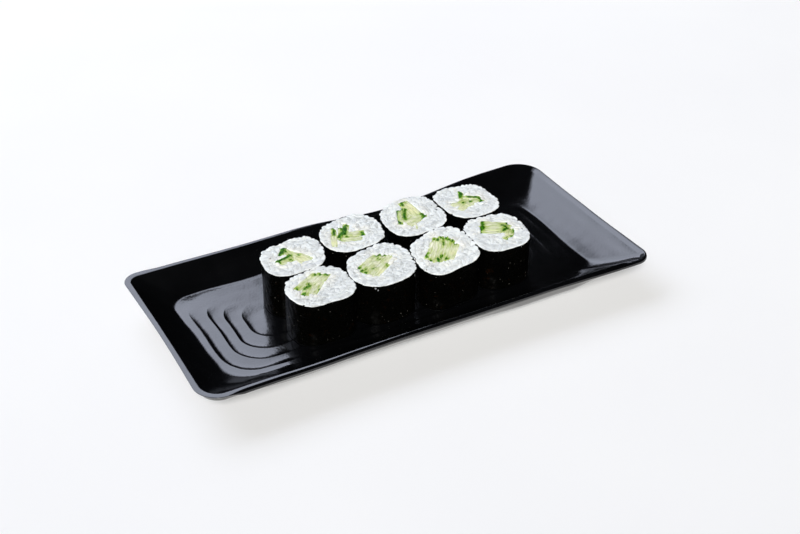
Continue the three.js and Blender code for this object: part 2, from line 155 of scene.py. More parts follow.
# base: height of its foot. lobes: how oval, three-sided and square the outline is, (size,
# direction). tuck: the seaweed's inner end, (direction, length). strips: (x, y, length, width,
# direction) about the roll's centre. skin: strokes of dark green skin seen on the cut, (x, y,
# x, y, ..., width). yellow: yellower patches, (x, y, radius). notches: where rice has broken from
# the rim, (direction, depth, half width). slope: the cut's, (steepness, direction). wisps: thin
# bits of cucumber, as strips with a height above the cut.
Roll = namedtuple("Roll", "name x y radius base lobes tuck strips skin yellow notches slope wisps",
                  defaults=[(0, 0), ()])
ROLLS = [
    Roll("back_1", -49.5, 16.3, 17.7, 4.8, [(1.8, 20), (0.3, 50), (1.1, 42)], tuck=(7, 7.5),
         strips=[(-3.6, 6.7, 7.5, 2.6, 52), (-5.5, -0.7, 9, 3.4, 13), (0.6, 1.2, 15, 4.5, -62),
                 (4.2, -2.9, 11, 4.4, -62), (-4.6, -3.2, 8.5, 2.4, 5), (1.6, -4.6, 7, 2.8, -80)],
         skin=[(-6.5, 4, -1.5, 9.5, 1.8), (-10, -1, -1.5, 1.5, 2), (-9.5, -2.6, -9, -1.4, 0.9),
               (-1.6, 6.5, -1.4, 6.5, 1), (-2.6, -2.3, -2.5, -2.3, 0.9), (2.9, -0.4, 3, -0.4, 1)],
         yellow=[(-6.3, 1.2, 0.8), (3, -4.5, 4)],
         notches=[(51, 0.9, 0.7), (65, 0.5, 0.5), (104, 0.5, 0.6), (88, 0.3, 0.5),
                  (28, 0.6, 0.5)]),
    Roll("front_1", -49.0, -15.7, 18.0, 5.3, [(1.1, 9), (0.5, 60), (1, 47)], tuck=(2, 5),
         strips=[(-4.5, 7.1, 17.5, 3.4, 29), (-0.4, 6.2, 13.5, 3.2, 34), (2.4, 3.6, 14, 3.4, 38),
                 (-7.6, -0.4, 9, 4.2, 50), (-3.4, -1.7, 9, 3.8, 44)],
         skin=[(-12.2, 2.4, -11.4, 4.2, 1.3), (2.2, 10.4, 2.8, 11.2, 1.2),
               (4.4, 9.2, 5.2, 9.8, 1.2), (7.6, 7.6, 8.4, 8.4, 1.4), (-4.9, 3.8, -4.7, 4.2, 0.8),
               (-8, 1, -5, 2.5, 1.6), (-11.5, -4, -10.5, -3, 1.2), (-1.6, -2.8, -1.4, -2.6, 0.8)],
         yellow=[(-6.5, 1.5, 0.8)],
         notches=[(52, 1.4, 0.7), (5, 0.6, 0.5), (-9, 0.6, 0.5), (218, 0.5, 0.6),
                  (146, 0.5, 0.5)]),
    Roll("back_2", -11.1, 22.1, 18.3, 5.8, [(1.3, 25), (0.4, 68), (0.8, 45)], tuck=(0, 5.5),
         strips=[(-11, -0.1, 17.5, 2.6, 66), (-1.2, 4.8, 8.5, 3, 62), (-4.9, 3.8, 8, 2.8, 62),
                 (0.6, -1.9, 11, 4.4, -12), (-7, -0.6, 6, 4.2, 30), (-2.6, -5.6, 11, 4, -24)],
         skin=[(-9.5, 2.5, -7.5, 8, 1.6), (-3.7, 7.3, -3.3, 7.7, 1.1), (-4, 1, -1.5, 6, 2.6),
               (0.8, 7.5, 0.9, 7.5, 1.4), (-8, -1, -5, 2, 2), (-9, -3.6, -9, -3.3, 0.8),
               (-4.3, -2.6, -4.1, -2.4, 0.8), (5.2, -2.8, 4.2, -6.2, 1.3)],
         yellow=[(-12.5, -5, 3)],
         notches=[(116, 0.9, 0.5), (56, 1.4, 0.6), (20, 0.9, 0.5), (215, 0.6, 0.6)]),
    Roll("front_2", -11.4, -13.7, 18.9, 5.3, [(1.1, 30), (0.5, 54), (0.6, 47)], tuck=(-3, 5.5),
         strips=[(-5.6, 5.4, 15, 3, 27), (-4, 3.3, 18.5, 2.9, 29), (-2, 1.4, 20, 2.9, 31),
                 (-0.4, -0.8, 20, 3, 33), (-1.6, -3.6, 12, 3.2, 30)],
         skin=[(1.6, 8.5, 2, 8.5, 1.4), (4.3, 8.2, 4.7, 8.4, 1.4), (5.8, 7.4, 6.2, 7.6, 1.3),
               (8.2, 6.8, 8.8, 7.2, 1.4), (1.1, 5, 1.3, 5, 0.8), (-11.8, 3, -11.2, 3.2, 1.2),
               (-12, -0.5, -11.6, 0, 1.3), (-10.7, -2.4, -10.3, -2, 1.2),
               (-9.6, -0.6, -9.4, -0.4, 0.9), (-5.4, -1.4, -5.2, -1.2, 0.8),
               (2.4, -2.3, 2.6, -2.1, 0.7)],
         yellow=[(-3, -5.5, 2.5)], slope=(1.5, 241),
         notches=[(-12, 1.0, 0.8), (-25, 0.5, 0.5), (150, 0.6, 0.5), (40, 0.5, 0.6)]),
    Roll("back_3", 27.2, 21.3, 18.9, 5.8, [(0.8, 46), (0.4, 77), (1, 48)], tuck=(7, 6),
         strips=[(2.2, 6.6, 16, 6, 95), (-7, 1.8, 14, 2.8, 66), (-3.4, 3.6, 12.5, 2.9, 62),
                 (0, -3.6, 13, 4.2, 12), (-2.6, -6.2, 8, 3.2, 20)],
         skin=[(-0.2, 12.1, 0.7, 14.3, 2.9, 15.6, 1.3),
               (-9.3, -5.7, -10.2, -0.7, -9.6, 2.1, -7.7, 5.4, -6, 7.7, 1),
               (-6, 7.7, -2.7, 9.1, -1.6, 8.8, 1.1), (-0.4, 7.7, -2.7, 4.9, 1),
               (-2.7, 4.9, -4.9, 1, 1.1), (-4.9, 1, -5.2, -1.2, 1), (6.2, -2.9, 3.4, -6.8, 1.4),
               (5.1, -1.2, 6.2, -2.9, 1.2)],
         yellow=[(2.5, 7, 5), (2.6, 8, 4), (2.4, 3, 3), (-2.3, 6.5, 0.9)], slope=(1.5, 241),
         notches=[(5, 1.1, 0.6), (21, 0.6, 0.5), (-12, 0.9, 0.5), (152, 0.5, 0.6)],
         wisps=[(-3, -10.1, 4.8, 0.5, 69, 0.25), (-1.4, -0.4, 5.5, 3, 20, -0.25),
                (-1.3, 2.7, 4.6, 2.6, 75, -0.22)]),
    Roll("front_3", 25.4, -17.6, 18.7, 5.8, [(1, 37), (0.4, 84), (1.2, 47)], tuck=(0, 7.5),
         strips=[(-5.4, 4.6, 18.5, 3.2, 47), (-3, 2.7, 20.5, 3.2, 48), (-0.3, 0.9, 20.5, 3.2, 49),
                 (2.1, -1.1, 18, 3.2, 48), (3.9, -3.3, 13, 3.2, 45)],
         skin=[(-0.2, 10.7, -0.1, 10.8, 1.3), (0.8, 9.2, 1, 9.4, 1.1), (3.6, 9.8, 3.8, 10, 1.2),
               (4, 9, 2.1, 4.6, 0.5), (5.6, 8.4, 5.8, 8.6, 1.2), (6.4, 6.5, 6.6, 6.7, 1.2),
               (7.5, 4.5, 7.7, 4.7, 1.2), (8.2, 2, 8.2, 2.2, 1.2), (-10.7, 2.1, -11.3, -0.7, 1.3),
               (-11, -4, -10.8, -3.8, 1.2), (-9.2, 1.7, -9, 1.9, 0.9),
               (-6.6, -4.8, -7.1, -6.5, 1.2), (-3.2, -3.4, -4.9, -4.8, 0.8),
               (-2.5, -6.9, -2.3, -6.7, 0.9)],
         yellow=[(3, -4, 2.5)], slope=(6.5, 241),
         notches=[(31, 0.8, 0.6), (20, 0.6, 0.5), (-15, 1.7, 0.5), (118, 0.4, 0.6)]),
    Roll("back_4", 62.3, 20.5, 17.8, 5.8, [(0.8, 115), (0.4, 10), (0.9, 45)], tuck=(-14, 4),
         strips=[(-0.8, 4.7, 11.5, 2.6, 64), (4.2, 1.8, 8.5, 3, -28), (6.6, -1.4, 7, 3, -75),
                 (-4.4, -0.4, 11, 3.4, 8), (-3, -3.8, 12.5, 4, 32), (2.6, -2.4, 9, 4, 20)],
         skin=[(1.8, 9.6, -0.7, 5.4, 2), (-2.8, -0.8, -2.6, -0.6, 1),
               (2.9, 2.9, 4.3, 1.8, 6.2, 1, 1.2), (6.2, 1, 7.6, -0.1, 7.9, -3.4, 1.3),
               (7.9, -3.4, 6.2, -5.4, 1.2), (1.5, -1.9, 1.6, -1.7, 0.9)],
         yellow=[(-6, -4.6, 2.5), (1.8, 3.2, 0.8)],
         notches=[(209, 1.3, 0.7), (38, 0.6, 0.5), (7, 0.6, 0.5), (72, 0.4, 0.5)]),
    Roll("front_4", 60.4, -15.8, 18.2, 5.8, [(0.8, 82), (0.4, 2), (1.1, 42)], tuck=(-10, 5),
         strips=[(2.6, 7.6, 14.5, 4, -32), (0, 4.2, 14, 4, -32), (-2.8, 1.8, 12, 3.4, -32),
                 (5.9, 0.6, 8.5, 4, 38), (6.1, -3.6, 8, 4.4, 55), (2.9, -6.6, 7, 3, 25)],
         skin=[(-1.8, 13.2, -4.3, 8.2, 1.6), (-4.3, 8.2, -8.8, 4.3, 2.4),
               (9.8, 5.6, 10.3, 5.2, 1.3), (8.8, 3.9, 9.2, 3.7, 1.2), (6.2, 4.3, 6.8, 0.4, 1.8),
               (6.8, 0.4, 4, -0.7, 1.6), (9.1, -2.8, 8.9, -3, 1.3), (7.9, -4.7, 7.9, -4.5, 1.1),
               (1.2, -9.1, 1.3, -8.9, 1.1), (4.5, -8, 4.7, -7.8, 1.1)],
         yellow=[(4, -5.5, 2)],
         notches=[(-14, 1.2, 0.5), (16, 0.5, 0.5), (58, 0.5, 0.6), (215, 0.4, 0.5)]),
]

# Specks lying on the cuts: (roll, x, y, size, colour).
BROWN, DARK, GREY = (0.16, 0.05, 0.02), (0.012, 0.012, 0.008), (0.33, 0.34, 0.36)
CRUMBS = [
    ("back_1", -12.0, 3.8, 0.55, BROWN), ("back_1", -3.6, -9.1, 0.45, DARK),
    ("back_3", -17.1, 5.2, 0.5, BROWN), ("back_3", 14.8, -1.5, 0.9, DARK),
    ("back_3", 14.6, 3.8, 0.55, GREY), ("front_2", -3.2, 13.6, 0.6, GREY),
    ("front_3", -5.7, 12.9, 0.6, GREY), ("front_3", -11.0, 12.7, 0.5, (0.40, 0.26, 0.24)),
    ("front_3", -17.6, 0.4, 0.5, BROWN), ("front_3", -16.6, -9.9, 0.6, BROWN),
    ("front_4", 13.6, -4.4, 0.8, DARK), ("front_3", 14.2, -4.6, 0.7, DARK),
    ("back_4", -3.5, 12.5, 0.4, GREY), ("front_1", 8.2, 12.6, 0.4, GREY),
]
# Wet smears on the seaweed's outside, coloured grey as a painted glint: (roll, direction, height,
# width, length).
GLINT_SMEARS = [("front_2", 233, 29.4, 0.9, 1.5), ("front_2", 237, 28.1, 0.6, 1.1),
          ("front_2", 316, 27.6, 0.5, 1.6), ("front_4", 286, 29.6, 0.5, 0.8)]
GLINT_SMEAR_THICKNESS = 0.16
# Pale dots on each roll's seaweed as painted glints, most of them low down.
GLINT_DOT_COUNT, GLINT_DOTS_FROM, GLINT_DOTS_REACH = 34, 1.2, 22
GLINT_DOT_COLOUR = np.array([1.0, 0.95, 0.85])

# ---- Rolls, finer than in the CAD model ----

NORI_SHEET = 0.32  # thickness of the real sheet
NORI_INSET = 0.12  # the sheet lies this far inside the solid's outer face
NORI_LAP = 0.16  # step where the sheet's outer end laps over itself
LAP_PAST_TUCK = 0.35  # in radians
NORI_DEPTH = NORI_INSET + NORI_LAP + NORI_SHEET  # of the sheet's inner face
NORI_COLUMNS, NORI_ROWS = 264, 38
TUCK_STEPS, TUCK_ROWS = 14, 12

RICE_COLUMNS, RICE_RINGS = 264, 36
NOTCH_PIT = 1.7  # how far down a notch at the rim goes
RICE_COVER = 0.07  # the core lies this far under the cut
CUT_EDGE = [(0, 0.3), (0.06, 0.16), (0.18, 0.06), (0.4, 0), (0.8, 0)]  # (inwards, drop)
STICK_WELL = 1.2  # depth of the hollow in the core under the cucumber's cut ends
LIP_FRONT, LIP_BACK = 0.16, 0.9  # how jagged the rice's rim is
LIP_DEEPEST, LIP_PROUDEST = -0.95, 0.38
GRAIN_LENGTH, GRAIN_WIDTH, GRAIN_HEIGHT = 6.2, 2.75, 2.45
GRAIN_BEND = [(2, 0.35), (1, 0.3)]  # (axis, at most)
GRAIN_SPACING, GRAIN_MARGIN = 2.05, 0.95
GRAIN_TRIES = 2600
GRAIN_SEGMENTS, GRAIN_RINGS = 14, 9
GRAIN_PROUDEST = 0.62
CUT_SOFTNESS, PROUD_SOFTNESS = 0.07, 0.4  # share of its height that rice keeps above the cut

STICK_STEP = 0.34  # mesh spacing on the cut of a cucumber stick
STICK_CLEARANCE = -0.33  # neighbouring sticks press into each other
STICK_SUNK, STICKS_UNEVEN = 0.1, 0.2
SLIVER_WIDTH = 1.7  # a stick is torn lengthways into slivers about this wide
WIDE_WISP = 1  # thinner wisps lie on the rice and make no room in it

RICE_WHITE = np.array([0.87, 0.905, 0.88])
RICE_CREAM = np.array([0.90, 0.89, 0.80])
RICE_GREY = np.array([0.78, 0.81, 0.83])
SKIN_DARK = np.array([0.012, 0.08, 0.001])
SKIN_LIGHT = np.array([0.05, 0.21, 0.003])
RIND_GREEN = np.array([0.17, 0.35, 0.015])
FLESH_GREEN = np.array([0.36, 0.46, 0.1])
FLESH_PALE = np.array([0.72, 0.735, 0.53])
FLESH_YELLOW = np.array([0.74, 0.74, 0.42])


# ---- Mesh helpers ----


class Waves:
    """Smooth random numbers, about -2 to 2, over points; size is the length of one wave."""

    def __init__(self, rng, size, stretch=(1, 1, 1)):
        directions = rng.normal(size=(WAVE_COUNT, 3))
        directions /= np.linalg.norm(directions, axis=1, keepdims=True)
        lengths = size * rng.uniform(0.7, 1.5, WAVE_COUNT)
        self.vectors = directions * (TURN / lengths)[:, None] / np.array(stretch)
        self.phases = rng.uniform(0, TURN, WAVE_COUNT)

    def __call__(self, points):
        return np.cos(points @ self.vectors.T + self.phases).sum(1) * math.sqrt(2 / WAVE_COUNT)


def smoothstep(value):
    value = np.clip(value, 0, 1)
    return value * value * (3 - 2 * value)


def lerp(one, other, share):
    return one + (other - one) * share


def polar(points):
    return np.hypot(points[:, 0], points[:, 1]), np.arctan2(points[:, 1], points[:, 0])


def axes(angle):
    """Unit vectors along a direction in radians and a quarter turn to its left."""
    forward = np.array([math.cos(angle), math.sin(angle)])
    return forward, np.array([-forward[1], forward[0]])


def raised(places, height=0.0):
    """Points from places (x, y) and a height, or one height each."""
    return np.column_stack([places, np.full(len(places), height)])


def ring(angles, radius, height=0.0):
    """A loop of points round the z axis; radius and height may change along it."""
    return raised(np.column_stack([radius * np.cos(angles), radius * np.sin(angles)]), height)


def all_round(count):
    """Angles all round, in radians."""
    return np.arange(count) / count * TURN


def grid_faces(rows, columns, closed):
    """Quads between rows of points numbered row by row, facing outwards when the rows climb."""
    row = np.arange(rows - 1)[:, None] * columns
    column = np.arange(columns if closed else columns - 1)[None, :]
    here, beside = row + column, row + (column + 1) % columns
    return np.stack([here, beside, beside + columns, here + columns], -1).reshape(-1, 4)


def fan_faces(centre, loop, upwards):
    """Triangles from a centre point to an anticlockwise loop of point numbers."""
    following = np.roll(loop, -1)
    middle = np.full(len(loop), centre)
    sides = (loop, following) if upwards else (following, loop)
    return np.stack([middle, *sides], -1)


def skin_loops(loops, bottom, top):
    """Points and faces of a closed body over equal loops, from under it round to its top."""
    count = len(loops[0])
    points = np.concatenate([*loops, [bottom], [top]])
    last = (len(loops) - 1) * count + np.arange(count)
    faces = [
        grid_faces(len(loops), count, closed=True),
        fan_faces(len(loops) * count, np.arange(count), upwards=False),
        fan_faces(len(loops) * count + 1, last, upwards=True),
    ]
    return points, faces


def join_parts(parts):
    """One part from several (points, faces, attributes)."""
    points, faces, attributes, first = [], [], {}, 0
    for part_points, part_faces, part_attributes in parts:
        points.append(part_points)
        faces.extend(block + first for block in part_faces)
        for key, values in part_attributes.items():
            attributes.setdefault(key, []).append(values)
        first += len(part_points)
    joined = {key: np.concatenate(values) for key, values in attributes.items()}
    return np.concatenate(points), faces, joined


def add_object(name, data):
    added = bpy.data.objects.new(name, data)
    bpy.context.scene.collection.objects.link(added)
    return added


def make_piece(name, part, material, slot, nodes):
    points, faces, attributes = part
    mesh = bpy.data.meshes.new(name)
    polygons = [polygon for block in faces for polygon in block.tolist()]
    mesh.from_pydata((points * MM).tolist(), [], polygons)
    for key, values in attributes.items():
        if key == "tint":
            layer = mesh.attributes.new(key, "FLOAT_COLOR", "POINT")
            layer.data.foreach_set("color", raised(values, 1.0).ravel())
        else:
            layer = mesh.attributes.new(key, "FLOAT_VECTOR", "POINT")
            layer.data.foreach_set("vector", values.ravel())
    mesh.shade_smooth()
    mesh.materials.append(material)
    mesh.validate()
    piece = add_object(name, mesh)
    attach(piece, "root")
    if nodes:
        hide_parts(*nodes)


# ---- Plate ----


def shape_loop(outline, height, steps=LOOP_STEPS):
    corners, bows = outline
    arcs = []
    for quarter, (x, y, radius) in enumerate(corners):
        angles = (quarter + np.arange(steps[0] + 1) / steps[0]) * TURN / 4
        middle = [x - math.copysign(radius, x), y - math.copysign(radius, y)]
        arcs.append(ring(angles, radius)[:, :2] + middle)
    stretches = []
    for quarter, arc in enumerate(arcs):
        start, end = arc[-1], arcs[(quarter + 1) % 4][0]
        outwards = np.array([end[1] - start[1], start[0] - end[0]]) / np.linalg.norm(end - start)
        count = steps[1 + quarter % 2]
        travel = (np.arange(1, count) / count)[:, None]
        bow = bows[quarter] * np.sin(math.pi * travel)
        stretches += [arc, lerp(start, end, travel) + outwards * bow]
    return raised(np.concatenate(stretches), height)


def bend_with_rim(loop, strength):
    u = loop[:, 0] / (PLATE_LENGTH / 2)
    v = loop[:, 1] / (PLATE_WIDTH / 2)
    ripple = np.sin(RIPPLES_PER_SIDE * math.pi * u) * np.cos(RIPPLES_PER_SIDE * v)
    from_dip = np.clip((loop[:, 0] - DIP_X) / DIP_HALF_SPAN, -1, 1)
    dip = np.where(v > 0, 0.5 * (1 + np.cos(math.pi * from_dip)) * v * v, 0)
    lift = CORNER_LIFT * u * u * v * v + RIM_RIPPLE * ripple - DIP_DOWN * dip
    return loop + strength * np.column_stack([np.zeros(len(loop)), -DIP_INWARD * dip, lift])


def shrink(outline, amount, bow_share=1.0):
    corners, bows = outline
    places = corners[:, :2] - np.sign(corners[:, :2]) * amount
    return raised(places, np.maximum(corners[:, 2] - amount, SMALLEST_CORNER)), bows * bow_share


def mix(one, other, share):
    return tuple(lerp(a, b, share) for a, b in zip(one, other))


def wall_rise(out, curve):
    """Height of the wall as a share of its rise: a smooth line through the curve's points."""
    outs, rises = np.array(curve).T
    steps = np.diff(rises) / np.diff(outs)
    between = 2 * steps[:-1] * steps[1:] / (steps[:-1] + steps[1:])
    slopes = np.array([0.1 * steps[0], *between, 0.95 * steps[-1]])
    piece = min(np.searchsorted(outs, out, side="right") - 1, len(steps) - 1)
    width = outs[piece + 1] - outs[piece]
    t = (out - outs[piece]) / width
    return (
        (2 * t**3 - 3 * t**2 + 1) * rises[piece]
        + (t**3 - 2 * t**2 + t) * width * slopes[piece]
        + (3 * t**2 - 2 * t**3) * rises[piece + 1]
        + (t**3 - t**2) * width * slopes[piece + 1]
    )


def floor_behind_ridge(ridge):
    return WELL_FLOOR - (len(RIDGES) - 1 - ridge) * RIDGE_STEP


def ridge_softness(ridge, loop):
    """How wide a ridge's step is round a loop."""
    u, v = loop[:, 0] / PLATE_LENGTH, loop[:, 1] / PLATE_WIDTH
    uneven = np.cos(9 * u + 17 * v + 2.3 * ridge) + np.cos(-15 * u + 11 * v + 4.1 * ridge)
    return RIDGE_SOFTNESS * (1 + 0.24 * uneven)


def ridge_fade(ridge, loop):
    """Share of a ridge that has faded into an even slope, towards the back and the right."""
    behind = smoothstep((loop[:, 1] - FADE_BEHIND[ridge]) / FADE_BLEND)
    right = FADE_RIGHT_SHARE * smoothstep((loop[:, 0] - FADE_RIGHT) / FADE_RIGHT_BLEND)
    return np.maximum(behind, right)


def plate_floor(ridge, wander):
    """Loops from one ridge's crest to the next one in, dropping at once and rising slowly."""
    crest = floor_behind_ridge(ridge) - CREST_DROP
    inner = RIDGES[ridge - 1] if ridge else shrink(RIDGES[0], RIDGE_SPACING)
    loops = []
    for share in RIDGE_SHARES:
        loop = wander(shape_loop(mix(RIDGES[ridge], inner, share), crest))
        reach = RIDGE_SPACING / ridge_softness(ridge, loop)
        fall = (1 - np.exp(-share * reach)) / (1 - np.exp(-reach))
        fall = lerp(fall, share, ridge_fade(ridge, loop))
        loop[:, 2] += TERRACE_TILT * share - (RIDGE_STEP + TERRACE_TILT) * fall
        loops.append(loop)
    return loops


def plate_part(rng):
    rim_inside = shrink(RIM, RIM_TOP_WIDTH, RIM_TOP_BOW)
    wall_top = RIM_HEIGHT - RIM_ROUNDING / 2
    wander_x, wander_y = Waves(rng, WANDER_SIZE), Waves(rng, WANDER_SIZE)

    def wander(loop):
        flat = loop * FLAT
        return loop + WANDER * raised(np.column_stack([wander_x(flat), wander_y(flat)]))

    def wavy_foot(loop):
        """The wall's foot, which strays everywhere and bulges along the right end."""
        wavy = wander(loop)
        right = smoothstep((loop[:, 0] - RIGHT_FOOT_FROM) / RIGHT_FOOT_BLEND)
        for y, width, outwards in RIGHT_FOOT:
            wavy[:, 0] += right * outwards * np.exp(-(((loop[:, 1] - y) / width) ** 2))
        return wavy

    def wall_loop(out, depth):
        """A loop on the wall's face, or depth under it, out from its foot to the rim."""
        rise = wall_rise(out, WALL_CURVE)
        height = lerp(WELL_FLOOR, wall_top, rise) - depth
        loop = shape_loop(mix(WALL_FOOT, rim_inside, out), height)
        loop = bend_with_rim(lerp(loop, wavy_foot(loop), (1 - out) ** 2), out)
        front = smoothstep((FRONT_FROM - loop[:, 1]) / FRONT_BLEND)
        front *= smoothstep((FRONT_REACH - np.abs(loop[:, 0])) / FRONT_ENDS)
        steeper = smoothstep((loop[:, 0] - STEEPER_FROM) / STEEPER_BLEND)
        front_rise = lerp(wall_rise(out, FRONT_CURVE), wall_rise(out, STEEPER_CURVE), steeper)
        loop[:, 2] -= front * (rise - front_rise) * (wall_top - WELL_FLOOR)
        return loop

    def rim_loop(full, thin):
        """A loop round the rim's edge, where full and thin are (inwards, height)."""
        full, thin = (shape_loop(shrink(RIM, inwards), height) for inwards, height in (full, thin))
        thinness = smoothstep((THIN_FROM - full[:, 0]) / THIN_BLEND)
        return bend_with_rim(lerp(full, thin, thinness[:, None]), 1)

    # From under the foot, up the outside and round the rim.
    loops = [shape_loop(shrink(FOOT, inwards), 0) for inwards in (32, 16, 0.5)]
    loops += [shape_loop(FOOT, height) for height in (0.4, FOOT_HEIGHT)]
    wall_from = WALL_CURVE[1][0]
    foot_top, wall_start = loops[-1], wall_loop(wall_from, WALL_DEPTH)
    loops += [lerp(foot_top, wall_start, share) for share in (0.1, 0.4, 0.7)]
    loops += [wall_loop(out, WALL_DEPTH) for out in np.linspace(wall_from, 1, 14)]
    under_edge = rim_loop(RIM_EDGE[0], THIN_EDGE[0])
    loops += [lerp(loops[-1], under_edge, share) for share in (0.35, 0.7)]
    loops += [rim_loop(full, thin) for full, thin in zip(RIM_EDGE, THIN_EDGE)]
    # Over the rim, down the wall and in over the floor.
    outer, wall_end = loops[-1], wall_loop(1, 0)
    tip = smoothstep((outer[:, 0] - RIM_TIP_FROM) / RIM_TIP_BLEND)
    inside = wall_end.copy()
    inside[:, 2] = outer[:, 2] - RIM_INSIDE_DROP - RIM_TIP * tip
    for share, drop in RIM_CROWN:
        crown = lerp(outer, inside, share)
        crown[:, 2] -= drop * (1 - tip)
        loops.append(crown)
    lifted = inside[:, 2] - RIM_INSIDE_ROUNDING * (1 - tip) - wall_end[:, 2]
    for share in WALL_SHARES:
        loop = wall_loop(1 - share, 0)
        loop[:, 2] += lifted * (1 - share) ** 2.5
        loops.append(loop)
    for share, drop in APRON:
        loop = shape_loop(mix(WALL_FOOT, RIDGES[-1], share), WELL_FLOOR - drop)
        loops.append(lerp(wavy_foot(loop), wander(loop), share))
    for ridge in reversed(range(len(RIDGES))):
        loops += plate_floor(ridge, wander)
    middle = np.array([0, 0, floor_behind_ridge(-1)])
    innermost = loops[-1]
    loops += [lerp(innermost, middle, share) for share in (0.3, 0.6, 0.85)]
    points, faces = skin_loops(loops, np.zeros(3), middle)
    warp = sum(height * Waves(rng, size)(points * FLAT) for height, size in WARP)
    points[:, 2] += np.where(points[:, 2] > FOOT_HEIGHT + 1, warp, 0)
    return points, faces, {}


def floor_under(points):
    """Height of the plate's floor under points."""
    height = np.full(len(points), floor_behind_ridge(-1))
    for ridge in RIDGES:
        loop = shape_loop(shrink(ridge, RIDGE_COVE * 0.3), 0, (5, 13, 5))
        side = np.roll(loop, -1, axis=0) - loop
        away = points[:, None, :2] - loop[None, :, :2]
        inside = (side[:, 0] * away[..., 1] > side[:, 1] * away[..., 0]).all(1)
        height += np.where(inside, 0, RIDGE_STEP)
    return height


# ---- Rolls ----


def outline_radius(roll, angles):
    radius = roll.radius
    for number, (size, direction) in zip((2, 3, 4), roll.lobes):
        radius = radius + size * np.cos(number * (angles - math.radians(direction)))
    return radius


def slope_cut(roll, points):
    """Tips the cut face, as the CAD does, and moves the roll to its place."""
    steepness, towards = map(math.radians, roll.slope)
    ahead = points[:, :2] @ axes(towards)[0]
    lift = (points[:, 2] - roll.base) / (CUT_HEIGHT - roll.base)
    moved = points + [roll.x, roll.y, 0]
    moved[:, 2] -= lift * math.tan(steepness) * ahead
    return moved


def placed(roll, parts):
    """One part from a roll's parts, with its cut tipped and in its place."""
    points, faces, attributes = join_parts(parts)
    return slope_cut(roll, points), faces, attributes


def nori_part(roll, rng):
    angles = all_round(NORI_COLUMNS)
    past_lap = ((angles - math.radians(roll.tuck[0]) - LAP_PAST_TUCK) % TURN) / TURN
    wall = outline_radius(roll, angles) - NORI_INSET - NORI_LAP * smoothstep(past_lap * 3)
    foot = ring(angles, wall)
    bottom = floor_under(foot + [roll.x, roll.y, 0]) + 0.06
    top = NORI_TOP + 0.16 * Waves(rng, 9)(foot) + 0.08 * Waves(rng, 2.5)(foot)
    pressed, creased = Waves(rng, 3.4), Waves(rng, 9, stretch=(1, 1, 3))

    def loop_at(share, inwards, wrinkle, highest=top - 0.08):
        height = lerp(bottom, highest, share)
        spot = ring(angles, wall, height)
        wobble = wrinkle * (0.055 * pressed(spot) + 0.07 * creased(spot))
        return ring(angles, wall - inwards + np.minimum(wobble, NORI_INSET), height)

    loops = [loop_at(share, 0, smoothstep(share * 12) * 0.7 + 0.3)
             for share in np.linspace(0, 1, NORI_ROWS)]
    loops += [loop_at(1, NORI_SHEET * inwards, 1, highest=top) for inwards in (0.3, 0.7)]
    loops += [loop_at(share, NORI_SHEET, 1) for share in (1, 0.94, 0.5, 0)]
    points = np.concatenate(loops)
    first = np.arange(NORI_COLUMNS)
    last = first + len(points) - NORI_COLUMNS
    closing = np.stack([last, np.roll(last, -1), np.roll(first, -1), first], -1)
    faces = [grid_faces(len(loops), NORI_COLUMNS, closed=True), closing]
    around = np.tile(angles * roll.radius, len(loops))
    sheet = np.column_stack([around, points[:, 2], np.full(len(points), 50.0 * rng.random())])
    return placed(roll, [(points, faces, {"sheet": sheet}), tuck_part(roll, rng)])


def tuck_path(roll, steps):
    """The line of the seaweed's inner end, from the wall into the rice."""
    angle, length = math.radians(roll.tuck[0]), roll.tuck[1]
    wall = outline_radius(roll, angle) - NORI_THICKNESS / 2
    forward, aside = axes(angle + math.pi + math.radians(TUCK_TURN))
    along = np.linspace(0, length, steps)
    sway = 0.35 * np.sin(along / length * math.pi * 1.3)
    return wall * axes(angle)[0] + along[:, None] * forward + sway[:, None] * aside, aside


def tuck_part(roll, rng):
    line, aside = tuck_path(roll, TUCK_STEPS)
    half = aside * NORI_SHEET / 2
    outline = np.concatenate([line + half, (line - half)[::-1]])[::-1]
    heights = [*np.linspace(roll.base, NORI_TOP - 0.1, TUCK_ROWS), NORI_TOP]
    uneven = 0.2 * Waves(rng, 4)(raised(outline))
    points = np.concatenate([raised(outline, height + uneven * index / TUCK_ROWS)
                             for index, height in enumerate(heights)])
    count = len(outline)
    faces = [grid_faces(len(heights), count, closed=True)]
    for first, upwards in ((0, False), (TUCK_ROWS * count, True)):
        low = first + np.arange(TUCK_STEPS - 1)
        high = first + count - 1 - np.arange(TUCK_STEPS - 1)
        quads = np.stack([low, low + 1, high - 1, high], -1)
        faces.append(quads if upwards else quads[:, ::-1])
    return points, faces, {"sheet": points}


def notch_depth(roll, angles):
    """How far the rice has broken away from its outline."""
    depth = np.zeros(len(angles))
    for direction, deepest, half_width in roll.notches:
        away = (angles - math.radians(direction) + math.pi) % TURN - math.pi
        depth += deepest * np.exp(-((away * roll.radius / half_width) ** 2))
    return depth


def to_strips(roll, points):
    """Distance from points to the nearest cucumber stick."""
    nearest = np.full(len(points), 99.0)
    wide = [wisp[:5] for wisp in roll.wisps if wisp[3] >= WIDE_WISP]
    for x, y, length, width, direction in [*roll.strips, *wide]:
        away = points[:, :2] - [x, y]
        along, across = (np.abs(away @ axis) for axis in axes(math.radians(direction)))
        beyond = np.hypot(np.maximum(along - length / 2, 0), np.maximum(across - width / 2, 0))
        nearest = np.minimum(nearest, beyond)
    return nearest


def to_tuck(roll, points):
    line, _ = tuck_path(roll, 8)
    return np.hypot(*(points[:, None, :2] - line[None]).transpose(2, 0, 1)).min(1)


